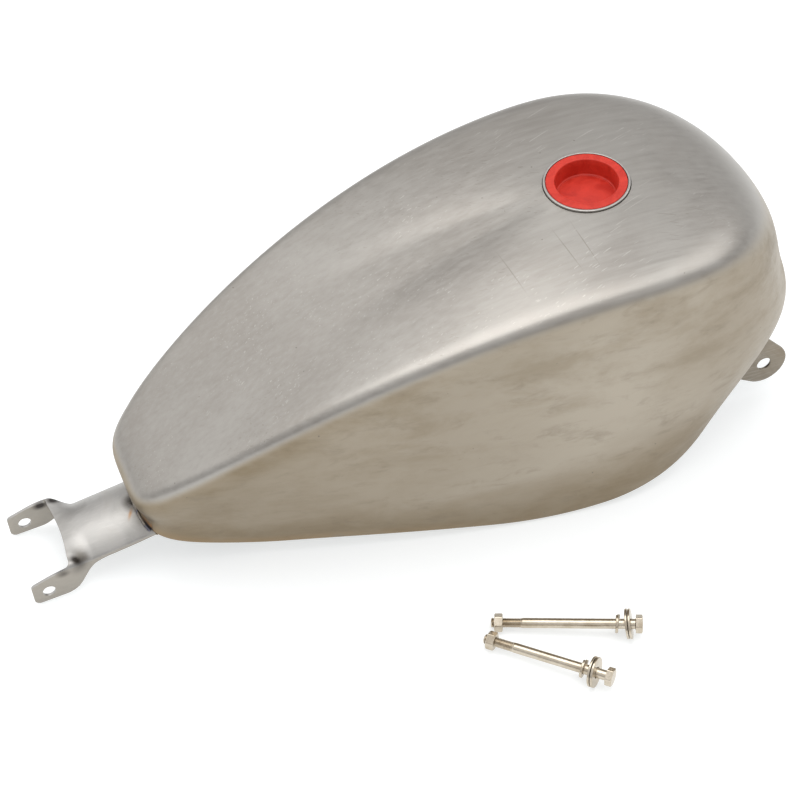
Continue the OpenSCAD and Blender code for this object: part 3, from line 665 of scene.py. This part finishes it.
def hex_wave(bottom, top, both):
    """Wave for lathe(): trims a disc to a hexagon with chamfered corners."""
    apothem = FLATS / 2
    face_r = apothem * 0.955
    corner_r = apothem / math.cos(math.radians(30)) * 0.982
    slope = math.tan(math.radians(28))

    def wave(r, z, angle):
        from_flat = (angle + math.pi / 6) % (math.pi / 3) - math.pi / 6
        r = min(r, apothem / math.cos(from_flat), corner_r)
        drop = max(0.0, r - face_r) * slope
        z = min(z, top - drop)
        if both:
            z = max(z, bottom + drop)
        return r, z
    return wave


def hex_profile(bottom, top, bore_r, both):
    """Closed profile of a hexagonal prism before hex_wave() trims it."""
    reach = [FLATS / 2 * f for f in (0.955, 0.975, 1.0, 1.03, 1.07, 1.11, 1.16)]
    start_r = bore_r + 0.5 if bore_r else 0.0
    upper = [(start_r, top)] + [(r, top) for r in reach]
    middle = [(reach[-1], mix(top, bottom, f)) for f in (0.3, 0.5, 0.7)]
    lower = [(r, bottom) for r in reversed(reach)] + [(start_r, bottom)]
    bore = [(bore_r, bottom + 0.5), (bore_r, top - 0.5)] if bore_r else []
    return upper + middle + lower + bore


def set_frame(which):
    """Head face of a set's bolt, with +Z along the shank to the tip."""
    joint = JOINTS[which + "_bolt_turn"]
    return axis_frame(joint["pos_m"], joint["axis"])


def station(which, node):
    """Distance of a node's middle from the bolt's head face, in millimetres."""
    joint = JOINTS[which + "_bolt_turn"]
    low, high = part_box(which + "_" + node)
    return ((low + high) / 2 - Vector(joint["pos_m"])).dot(Vector(joint["axis"]).normalized()) / MM


def bolt_length(which):
    return station(which, "nut") + NUT_H / 2 + NUT_TIP


def set_piece(which, node, name, mesh, material):
    """Piece of a bolt set that rides on its own body and stands for its own node."""
    return new_object(name, mesh, f"{which}_{node}", f"{which}_{node}", material)


def merge(name, parts):
    """One mesh from several."""
    joined = bmesh.new()
    for part in parts:
        joined.from_mesh(part)
        bpy.data.meshes.remove(part)
    mesh = bpy.data.meshes.new(name)
    joined.to_mesh(mesh)
    joined.free()
    smooth(mesh, 24)
    return mesh


def make_bolt(which, material):
    place, long = set_frame(which), bolt_length(which)
    start = long - THREAD_LENGTH
    thread_z = np.arange(start, long - 1.0, THREAD_PITCH / 8)
    profile = [(0, -0.5), (BOLT_R - 0.4, -0.5), (BOLT_R + 0.5, 0), (BOLT_R, 0.5), (BOLT_R, start - 0.1)]
    profile += [(BOLT_R, z) for z in thread_z]
    profile += [(BOLT_R - 0.05, long - 0.9), (BOLT_R - 0.9, long), (0, long)]
    wave = threaded(start, long - 0.9, BOLT_R, THREAD_PITCH, 0.72, 2.2)
    shank = lathe("shank", profile, place, segments=72, wave=wave)
    top_first = place @ Matrix.Rotation(math.pi, 4, "X")
    head = lathe("head", hex_profile(0, HEAD_H, 0, False), top_first, segments=HEX_SEGMENTS,
                 wave=hex_wave(0, HEAD_H, False))
    mesh = merge(which + "_hex_bolt", [shank, head])
    return set_piece(which, "bolt", which + "_hex_bolt", mesh, material)


def make_nut(which, material):
    place = set_frame(which) @ Matrix.Translation((0, 0, station(which, "nut") * MM))
    half = NUT_H / 2
    mesh = lathe(which + "_hex_nut", hex_profile(-half, half, BOLT_R + 0.05, True), place,
                 segments=HEX_SEGMENTS, wave=hex_wave(-half, half, True), sharp=24)
    return set_piece(which, "nut", which + "_hex_nut", mesh, material)


def leaning(which, node, lean):
    """Frame of a washer that leans on the shank."""
    base = set_frame(which) @ Matrix.Translation((0, 0, station(which, node) * MM))
    return base @ Matrix.Rotation(math.radians(lean), 4, "X")


def make_washer(which, node, material):
    half, edge = WASHER_T / 2, 0.4
    profile = round_corners([
        (WASHER_BORE_R, -half, 0.2), (WASHER_R, -half, edge), (WASHER_R, half, edge),
        (WASHER_BORE_R, half, 0.2)])
    name = f"{which}_{node}_disc"
    mesh = lathe(name, profile, leaning(which, node, LEAN[which][0]), segments=128)
    return set_piece(which, node, name, mesh, material)


def make_lock_washer(which, material):
    """Spring washer: a bar of square section wound almost once round, its ends sprung apart."""
    node = "lock_washer"
    place = leaning(which, node, LEAN[which][1])
    section = round_corners([
        (WASHER_BORE_R - 0.3, -LOCK_T / 2, 0.35), (LOCK_R, -LOCK_T / 2, 0.35),
        (LOCK_R, LOCK_T / 2, 0.35), (WASHER_BORE_R - 0.3, LOCK_T / 2, 0.35)], 3)
    steps, spring, split_at, wound = 90, 1.5, 130, 346
    count = len(section)
    points, faces = [], []
    for i in range(steps + 1):
        share = i / steps
        angle = math.radians(split_at + wound * share)
        for r, z in section:
            height = z + spring * (share - 0.5)
            points.append(place @ (Vector((r * math.cos(angle), r * math.sin(angle), height)) * MM))
    for i in range(steps):
        for k in range(count):
            a, b = i * count + k, i * count + (k + 1) % count
            faces.append((a, a + count, b + count, b))
    faces.append(list(range(count)))
    faces.append([steps * count + k for k in reversed(range(count))])
    name = which + "_spring_washer"
    mesh = mesh_from(name, points, faces)
    face_outward(mesh)
    smooth(mesh, 30)
    return set_piece(which, node, name, mesh, material)


# ---- materials
class Graph:
    """A material's node graph, built from short calls."""

    def __init__(self, name):
        self.material = bpy.data.materials.new(name)
        self.material.use_nodes = True
        self.tree = self.material.node_tree
        self.shader = self.tree.nodes["Principled BSDF"]
        self.colour = None

    def node(self, kind, inputs=None, **settings):
        made = self.tree.nodes.new("ShaderNode" + kind)
        for key, value in settings.items():
            setattr(made, key, value)
        for key, value in (inputs or {}).items():
            self.plug(made.inputs[key], value)
        return made

    def plug(self, socket, value):
        if isinstance(value, bpy.types.NodeSocket):
            self.tree.links.new(value, socket)
        elif isinstance(value, (tuple, list)) and len(value) == 3 and socket.type == "RGBA":
            socket.default_value = (*value, 1.0)
        else:
            socket.default_value = value

    def place(self):
        """Position on the piece, in metres."""
        return self.node("TexCoord").outputs["Object"]

    def attribute(self, name):
        return self.node("Attribute", attribute_name=name).outputs["Fac"]

    def stretch(self, vector, scale, turn=(0, 0, 0)):
        return self.node("Mapping", {"Vector": vector, "Scale": scale, "Rotation": turn}).outputs[0]

    def noise(self, vector, scale=1.0, detail=4.0, rough=0.55, warp=0.0):
        inputs = {"Vector": vector, "Scale": scale, "Detail": detail, "Roughness": rough, "Distortion": warp}
        return self.node("TexNoise", inputs).outputs["Fac"]

    def ramp(self, value, low, high, smoothly=True):
        """0 below low and 1 above high."""
        inputs = {"Value": value, "From Min": low, "From Max": high}
        kind = "SMOOTHSTEP" if smoothly else "LINEAR"
        return self.node("MapRange", inputs, interpolation_type=kind).outputs["Result"]

    def math(self, kind, a, b=0.0):
        return self.node("Math", {0: a, 1: b}, operation=kind).outputs[0]

    def times(self, *values):
        result = values[0]
        for value in values[1:]:
            result = self.math("MULTIPLY", result, value)
        return result

    def plus(self, a, b):
        return self.math("ADD", a, b)

    def spot(self, vector, centre, radii, turn=0.0, soft=1.0):
        """1 inside a flattened ball, fading to 0 at its radii; turned about Z."""
        inputs = {"Vector": vector, "Location": tuple(centre), "Rotation": (0, 0, turn), "Scale": radii}
        local = self.node("Mapping", inputs, vector_type="TEXTURE").outputs[0]
        away = self.node("VectorMath", {0: local}, operation="LENGTH").outputs["Value"]
        return self.ramp(away, 1.0, 1.0 - soft)

    def blend(self, share, below, above, kind="MIX"):
        made = self.node("Mix", {"Factor": share, "A": below, "B": above}, data_type="RGBA", blend_type=kind)
        return made.outputs["Result"]

    def over(self, share, tone):
        """Lays a tone over the colour so far."""
        self.colour = self.blend(share, self.colour, tone)

    def bump(self, height, distance, strength=1.0, normal=None):
        inputs = {"Height": height, "Distance": distance, "Strength": strength}
        if normal is not None:
            inputs["Normal"] = normal
        return self.node("Bump", inputs).outputs["Normal"]

    def finish(self, **inputs):
        """Connects the colour and the other inputs to the shader."""
        names = {"metal": "Metallic", "rough": "Roughness", "normal": "Normal", "glow": "Emission Color",
                 "specular": "Specular IOR Level", "glow_strength": "Emission Strength"}
        self.plug(self.shader.inputs["Base Color"], self.colour)
        for key, value in inputs.items():
            self.plug(self.shader.inputs[names[key]], value)
        return self.material


def scratches(g, place, turn, seed_shift):
    """Thin straight scratches, sparse and in patches, at one heading; 1 on a scratch."""
    turned = g.node("Mapping", {"Vector": place, "Rotation": (0, 0, turn)}).outputs[0]
    long = g.stretch(turned, (7, 900, 900))
    shifted = g.node("VectorMath", {0: long, 1: (seed_shift, 0, 0)}, operation="ADD").outputs[0]
    lines = g.ramp(g.noise(shifted, 1.0, 0.0), 0.745, 0.775)
    patches = g.ramp(g.noise(g.stretch(place, (11, 11, 11)), 1.0 + 0.1 * seed_shift, 2.0), 0.46, 0.6)
    return g.times(lines, patches)


# Three long fine scores across the top: x where each starts by the crown and where it nears the right ridge.
SCORES = ((359, 365), (375, 378), (314, 319))
SCORE_START_Y, SCORE_END_Y = -25.0, -92.0


def skin_material():
    """Bare brushed steel: fine scores on top, brown stains and painted shade on the sides, burnt corners at the
    tail.
    """
    g = Graph("bare_skin_steel")
    place = g.place()
    down = g.attribute("down")
    to_edge = g.attribute("to_edge")
    cut = g.attribute("cut")
    broad = g.noise(place, 7.0, 5.0, 0.6, 0.4)
    cloud = g.noise(g.stretch(place, (13, 19, 24)), 1.0, 8.0, 0.64, 0.25)
    drift = g.noise(g.stretch(place, (5, 9, 9)), 1.0, 3.0, 0.5, 0.2)
    streak = g.noise(g.stretch(place, (16, 260, 260)), 1.0, 5.0, 0.6, 0.15)
    fine = g.noise(g.stretch(place, (60, 1400, 1400)), 1.0, 3.0, 0.7)
    g.colour = g.blend(g.ramp(broad, 0.32, 0.68), (0.345, 0.322, 0.294), (0.40, 0.38, 0.352))
    g.over(g.times(g.ramp(streak, 0.4, 0.8), 0.35), (0.47, 0.452, 0.425))
    g.over(g.times(g.ramp(streak, 0.5, 0.2), 0.3), (0.27, 0.248, 0.222))
    side = g.ramp(down, 0.49, 0.56)
    shade_below_ridge = g.times(side, g.ramp(down, 0.80, 0.55))
    lower = g.times(side, g.ramp(to_edge, 0.09, 0.01))
    g.over(g.times(side, 0.7), (0.44, 0.38, 0.295))
    mottle = g.ramp(cloud, 0.40, 0.70)
    tail = g.spot(place, in_row((30.0, 0.0, 80.0)), (0.38, 0.3, 0.3), 0.0, 0.8)
    # Painted shade: a darker, browner band just under the ridge, a little mottled.
    g.over(g.times(shade_below_ridge, g.plus(0.5, g.ramp(drift, 0.3, 0.7)), 0.35), (0.29, 0.245, 0.18))
    band = g.times(g.ramp(down, 0.52, 0.56), g.ramp(down, 0.68, 0.60), tail)
    g.over(g.times(band, g.plus(0.35, mottle), 0.6), (0.27, 0.215, 0.135))
    g.over(g.times(side, g.ramp(down, 0.95, 0.75), mottle, 0.42), (0.27, 0.215, 0.14))
    g.over(g.times(lower, g.ramp(cloud, 0.36, 0.62), 0.65), (0.285, 0.22, 0.14))
    # Darker brown on the side towards its lower edge and over the tail, and painted shade on the nose side where
    # the nose spot reaches.
    nose = g.spot(place, in_row((505.0, -85.0, 150.0)), (0.13, 0.13, 0.13), 0.0, 0.9)
    shade = g.math("MAXIMUM", g.times(side, tail, 0.75), g.times(side, g.ramp(to_edge, 0.09, 0.02)))
    shade = g.math("MAXIMUM", shade, g.times(side, nose, 0.6))
    # A mottled dark patch high on the nose's right side.
    nose_dark_patch = g.spot(place, in_row((535.0, -62.0, 185.0)), (0.05, 0.05, 0.045), 0.0, 0.9)
    g.over(g.times(nose_dark_patch, mottle, 0.8), (0.17, 0.15, 0.12))
    g.over(g.times(shade, 0.75), (0.235, 0.185, 0.12))
    grime = g.ramp(g.noise(g.stretch(place, (34, 60, 80)), 1.0, 8.0, 0.66, 0.4), 0.5, 0.75)
    g.over(g.times(side, grime, 0.35), (0.19, 0.155, 0.11))
    rust = g.times(side, g.ramp(to_edge, 0.022, 0.008), g.ramp(cloud, 0.35, 0.55), tail)
    g.over(g.times(rust, 0.5), (0.37, 0.255, 0.14))
    for sign in (1, -1):
        corner = g.spot(place, in_row((12.0, sign * 28.0, 66.0)), (0.018, 0.013, 0.022))
        burnt = g.times(corner, cut, g.ramp(to_edge, 0.033, 0.025), g.plus(0.5, g.ramp(cloud, 0.3, 0.6)))
        g.over(g.times(burnt, 0.9), (0.45, 0.20, 0.055))
        # Sooty band by the cut, next to the weld.
        near_black = g.times(corner, cut, g.ramp(to_edge, 0.0275, 0.0235))
        g.over(g.times(near_black, 1.4), (0.05, 0.042, 0.038))
    top = g.ramp(down, 0.50, 0.44)
    dark_lines = g.times(scratches(g, place, 0.42, 0.0), top)
    light_lines = g.times(scratches(g, place, -0.35, 7.3), top)
    for start_x, end_x in SCORES:
        z = shoulder_z((start_x + end_x) / 2) + CROWN / 2
        start = Vector(in_row((start_x, SCORE_START_Y, z)))
        ahead = Vector(in_row((end_x, SCORE_END_Y, z))) - start
        radii, heading = (ahead.length / 2, 0.0007, 0.02), math.atan2(ahead.y, ahead.x)
        score = g.spot(place, start + ahead / 2, radii, heading)
        dark_lines = g.math("MAXIMUM", dark_lines, g.times(score, 1.6))
    g.over(g.times(dark_lines, 0.4), (0.24, 0.22, 0.19))
    g.over(g.times(light_lines, 0.35), (0.66, 0.635, 0.60))
    pits = g.ramp(g.noise(place, 230.0, 1.0, 0.5), 0.80, 0.84)
    g.over(g.times(pits, 0.5), (0.12, 0.105, 0.09))
    rough = g.plus(0.33, g.times(g.ramp(streak, 0.2, 0.8), 0.10))
    rough = g.plus(rough, g.times(side, g.plus(0.05, g.times(mottle, 0.1))))
    wave = g.bump(g.noise(place, 11.0, 2.0, 0.4), 0.0004, 0.25)
    brushed = g.bump(g.plus(streak, g.times(fine, 0.5)), 0.00004, 0.6, wave)
    scored = g.bump(g.plus(dark_lines, light_lines), -0.00003, 0.6, brushed)
    return g.finish(metal=0.93, rough=rough, normal=scored, specular=0.5)


def plate_material(name, light, dark, tint=0.3):
    """Flat steel plate, lightly brushed, with smudges of oil and a little brown."""
    g = Graph(name)
    place = g.place()
    cloud = g.noise(place, 26.0, 6.0, 0.6, 0.8)
    streak = g.noise(g.stretch(place, (30, 420, 420)), 1.0, 4.0, 0.6, 0.2)
    g.colour = g.blend(g.ramp(cloud, 0.35, 0.68), dark, light)
    g.over(g.times(g.ramp(streak, 0.5, 0.8), 0.35), (0.60, 0.582, 0.555))
    g.over(g.times(g.ramp(cloud, 0.58, 0.72), tint), (0.24, 0.19, 0.13))
    rough = g.plus(0.27, g.times(g.ramp(cloud, 0.3, 0.7), 0.14))
    normal = g.bump(g.plus(streak, g.times(cloud, 3.0)), 0.00005, 0.7)
    return g, place, cloud, rough, normal


def saddle_material():
    """Plate with painted shade on its upright faces, painted dark reflections and shade at the bends and on the
    ears' inner faces, and sooty, burnt colours where it meets the tail.
    """
    g, place, cloud, rough, normal = plate_material(
        "saddle_steel", (0.48, 0.467, 0.448), (0.37, 0.357, 0.338), 0.12)
    facing = g.node("NewGeometry").outputs["True Normal"]
    # Painted shade: faces that stand upright, such as the ears, are painted darker and browner than the arch's
    # top.
    flat = g.ramp(g.node("SeparateXYZ", {0: facing}).outputs["Z"], 0.5, 0.2)
    g.over(g.times(flat, 0.7), (0.34, 0.305, 0.255))
    grain = g.ramp(cloud, 0.3, 0.62)
    near_black = (0.06, 0.053, 0.048)
    ember = g.spot(place, in_row((1.5, -12.0, 73.0)), (0.0022, 0.008, 0.012), -0.55)
    g.over(g.times(ember, grain, 0.9), (0.42, 0.21, 0.07))
    joint = g.spot(place, in_row((6.0, -3.0, 75.5)), (0.011, 0.012, 0.01))
    g.over(g.times(joint, g.plus(0.5, grain)), near_black)
    seam = g.spot(place, in_row((10.5, 0.0, 70.0)), (0.006, 0.034, 0.03))
    g.over(g.times(seam, 0.5), near_black)
    for side in (1, -1):
        # Painted dark reflections in the bend between the arch and each ear, and a painted shade patch beside it,
        # in the near-black colour.
        bend = g.spot(place, in_row((-51.5, side * 33.0, 65.5)), (0.008, 0.0055, 0.006), side * 0.4)
        g.over(g.times(bend, g.plus(0.45, grain)), near_black)
        dark_reflection = g.spot(place, in_row((-49.0, side * 35.0, 62.0)), (0.014, 0.010, 0.012))
        g.over(g.times(dark_reflection, grain, 0.6), near_black)
        # Painted shade on the ear's inner face.
        inner = g.spot(place, in_row((-62.0, side * 36.6, 61.0)), (0.010, 0.004, 0.006), 0.2)
        g.over(g.times(inner, grain, 1.3), near_black)
    return g.finish(metal=0.92, rough=g.plus(rough, 0.06), normal=normal)


def bracket_material():
    g, _, _, rough, normal = plate_material(
        "ear_steel", (0.30, 0.262, 0.21), (0.22, 0.188, 0.146), 0.4)
    return g.finish(metal=0.92, rough=g.plus(rough, 0.1), normal=normal)


def inner_plate_material():
    g, _, _, rough, normal = plate_material(
        "mill_steel", (0.42, 0.40, 0.375), (0.31, 0.295, 0.275), 0.5)
    return g.finish(metal=0.9, rough=g.plus(rough, 0.12), normal=normal)


def turned_material():
    """Turned steel, dulled, with fine rings round the filler's axis."""
    g = Graph("turned_steel")
    place = g.place()
    cloud = g.noise(place, 60.0, 4.0, 0.6)
    rings = g.noise(g.stretch(place, (300, 300, 2600)), 1.0, 3.0, 0.6)
    g.colour = g.blend(cloud, (0.36, 0.34, 0.32), (0.54, 0.52, 0.49))
    return g.finish(metal=1.0, rough=g.plus(0.22, g.times(cloud, 0.16)),
                    normal=g.bump(rings, 0.00003, 0.5))


def weld_material():
    """Weld bead: dark scale with burnt straw and blue patches."""
    g = Graph("weld_scale")
    place = g.place()
    cloud = g.noise(place, 120.0, 5.0, 0.6, 0.6)
    g.colour = g.blend(g.ramp(cloud, 0.35, 0.65), (0.17, 0.15, 0.13), (0.45, 0.41, 0.36))
    g.over(g.ramp(cloud, 0.58, 0.66), (0.42, 0.23, 0.08))
    g.over(g.times(g.ramp(cloud, 0.42, 0.36), 0.6), (0.12, 0.13, 0.19))
    grain = g.noise(place, 900.0, 3.0, 0.6)
    return g.finish(metal=0.85, rough=g.plus(0.32, g.times(grain, 0.2)),
                    normal=g.bump(grain, 0.0001, 0.6))


def plug_material():
    """Soft red moulded plastic with flow marks and a fine grain."""
    g = Graph("red_moulded_plastic")
    place = g.place()
    flow = g.noise(place, 55.0, 5.0, 0.65, 1.6)
    speck = g.noise(place, 420.0, 3.0, 0.6)
    g.colour = g.blend(g.ramp(flow, 0.3, 0.7), (0.44, 0.020, 0.011), (0.58, 0.036, 0.020))
    g.over(g.times(g.ramp(speck, 0.62, 0.72), 0.25), (0.36, 0.012, 0.01))
    rough = g.plus(0.3, g.times(g.ramp(flow, 0.35, 0.7), 0.22))
    normal = g.bump(speck, 0.00005, 0.5, g.bump(flow, 0.0004, 0.6))
    return g.finish(rough=rough, normal=normal, specular=0.3)


def plated_material():
    """Warm nickel plating, slightly dulled and stained, with a faint grain."""
    g = Graph("bright_plating")
    place = g.place()
    cloud = g.noise(place, 90.0, 4.0, 0.6, 0.5)
    grain = g.noise(place, 1500.0, 3.0, 0.6)
    g.colour = g.blend(g.ramp(cloud, 0.3, 0.7), (0.48, 0.41, 0.315), (0.62, 0.555, 0.46))
    g.over(g.times(g.ramp(cloud, 0.62, 0.75), 0.4), (0.34, 0.26, 0.175))
    return g.finish(metal=1.0, rough=g.plus(0.16, g.times(cloud, 0.16)),
                    normal=g.bump(grain, 0.00002, 0.5))


# ---- the object
skin_steel = skin_material()
plated = plated_material()
turned = turned_material()
weld = weld_material()
ear_steel = bracket_material()
mill_steel = inner_plate_material()

for side, which in ((1, "left"), (-1, "right")):
    new_object(which + "_skin", skin_mesh(which + "_skin", side), "tank", which + "_shell",
               skin_steel)
make_saddle(saddle_material())
make_front_ear("ear_plate_left", "front_ear_left", 1, ear_steel)
make_front_ear("ear_plate_right", "front_ear_right", -1, ear_steel)
make_neck(turned)
make_plug(plug_material())
make_spud(turned)
make_saddle_weld(weld)
for which in ("front", "rear"):
    make_bolt(which, plated)
    make_nut(which, plated)
    make_washer(which, "washer_outer", plated)
    make_washer(which, "washer_inner", plated)
    make_lock_washer(which, plated)
for node, material in (("tunnel", mill_steel), ("left_pan", mill_steel), ("right_pan", mill_steel),
                       ("filler_neck_weld", weld), ("front_ear_welds", weld), ("petcock_spud_weld", weld)):
    mesh = frame["nodes"][node].data
    mesh.materials.clear()
    mesh.materials.append(material)

# ---- stage, lights and camera
scene = bpy.context.scene
scene.view_settings.view_transform = "Standard"
FLOOR_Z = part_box("front_washer_outer")[0].z - 0.0005
CENTRE = in_row((260.0, 0.0, 60.0))


def make_floor():
    """A wide round pale floor that glows a little, so that shadows on it stay faint."""
    mesh = bpy.data.meshes.new("floor")
    disc = bmesh.new()
    bmesh.ops.create_circle(disc, cap_ends=True, segments=96, radius=20.0)
    disc.to_mesh(mesh)
    disc.free()
    floor = bpy.data.objects.new("floor", mesh)
    floor.location = (CENTRE[0], CENTRE[1], FLOOR_Z)
    scene.collection.objects.link(floor)
    g = Graph("pale_floor")
    tone = g.noise(g.place(), 3.0, 3.0)
    g.colour = g.blend(tone, (0.57, 0.575, 0.58), (0.60, 0.60, 0.60))
    mesh.materials.append(g.finish(rough=0.9, specular=0.0, glow=(0.56, 0.575, 0.58),
                                   glow_strength=1.0))


def make_light(name, towards, distance, size, power, colour=(1, 1, 1)):
    """Square softbox that faces the tank from a direction."""
    data = bpy.data.lights.new(name, "AREA")
    data.shape, data.size, data.energy, data.color = "SQUARE", size, power, colour
    light = bpy.data.objects.new(name, data)
    direction = Vector(towards).normalized()
    light.location = Vector(CENTRE) + direction * distance
    light.rotation_mode = "QUATERNION"
    light.rotation_quaternion = direction.to_track_quat("Z", "Y")
    scene.collection.objects.link(light)
    return light


def make_world():
    """Light tent: bright overhead, greyer towards the horizon."""
    world = bpy.data.worlds.new("light_tent")
    scene.world = world
    world.use_nodes = True
    tree = world.node_tree
    background = tree.nodes["Background"]
    coord = tree.nodes.new("ShaderNodeTexCoord")
    split = tree.nodes.new("ShaderNodeSeparateXYZ")
    ramp = tree.nodes.new("ShaderNodeValToRGB")
    tree.links.new(coord.outputs["Generated"], split.inputs[0])
    tree.links.new(split.outputs["Z"], ramp.inputs["Fac"])
    tree.links.new(ramp.outputs["Color"], background.inputs["Color"])
    ramp.color_ramp.elements[0].position = 0.0
    ramp.color_ramp.elements[0].color = (0.52, 0.52, 0.53, 1)
    ramp.color_ramp.elements[1].position = 0.75
    ramp.color_ramp.elements[1].color = (1, 1, 1, 1)
    background.inputs["Strength"].default_value = 0.9


def make_camera():
    """Long lens from behind the right side, looking down on the tank."""
    azimuth, elevation, roll = math.radians(-21.10), math.radians(46.60), math.radians(-0.25)
    target, distance, lens = Vector((0.3100, 0.0, 0.0600)), 1.8480, 102.79
    back = Vector((math.sin(azimuth) * math.cos(elevation), -math.cos(azimuth) * math.cos(elevation),
                   math.sin(elevation)))
    data = bpy.data.cameras.new("camera")
    data.lens, data.sensor_width = lens, 36.0
    data.clip_start, data.clip_end = 0.05, 50.0
    camera = bpy.data.objects.new("camera", data)
    right = (-back).cross(Vector((0, 0, 1))).normalized()
    up = right.cross(-back)
    tilted = Matrix.Rotation(roll, 3, back)
    axes = (tilted @ right, tilted @ up, back)
    camera.matrix_world = Matrix.Translation(target + back * distance) @ Matrix(axes).transposed().to_4x4()
    scene.collection.objects.link(camera)
    scene.camera = camera


make_floor()
make_world()
make_light("overhead_softbox", (-0.02, 0.06, 1.0), 1.5, 1.25, 9.5)
make_light("nose_softbox", (0.75, 0.05, 0.72), 1.6, 0.9, 3.0)
make_light("left_fill", (-0.8, 0.7, 0.7), 2.4, 2.4, 7.0)
make_camera()
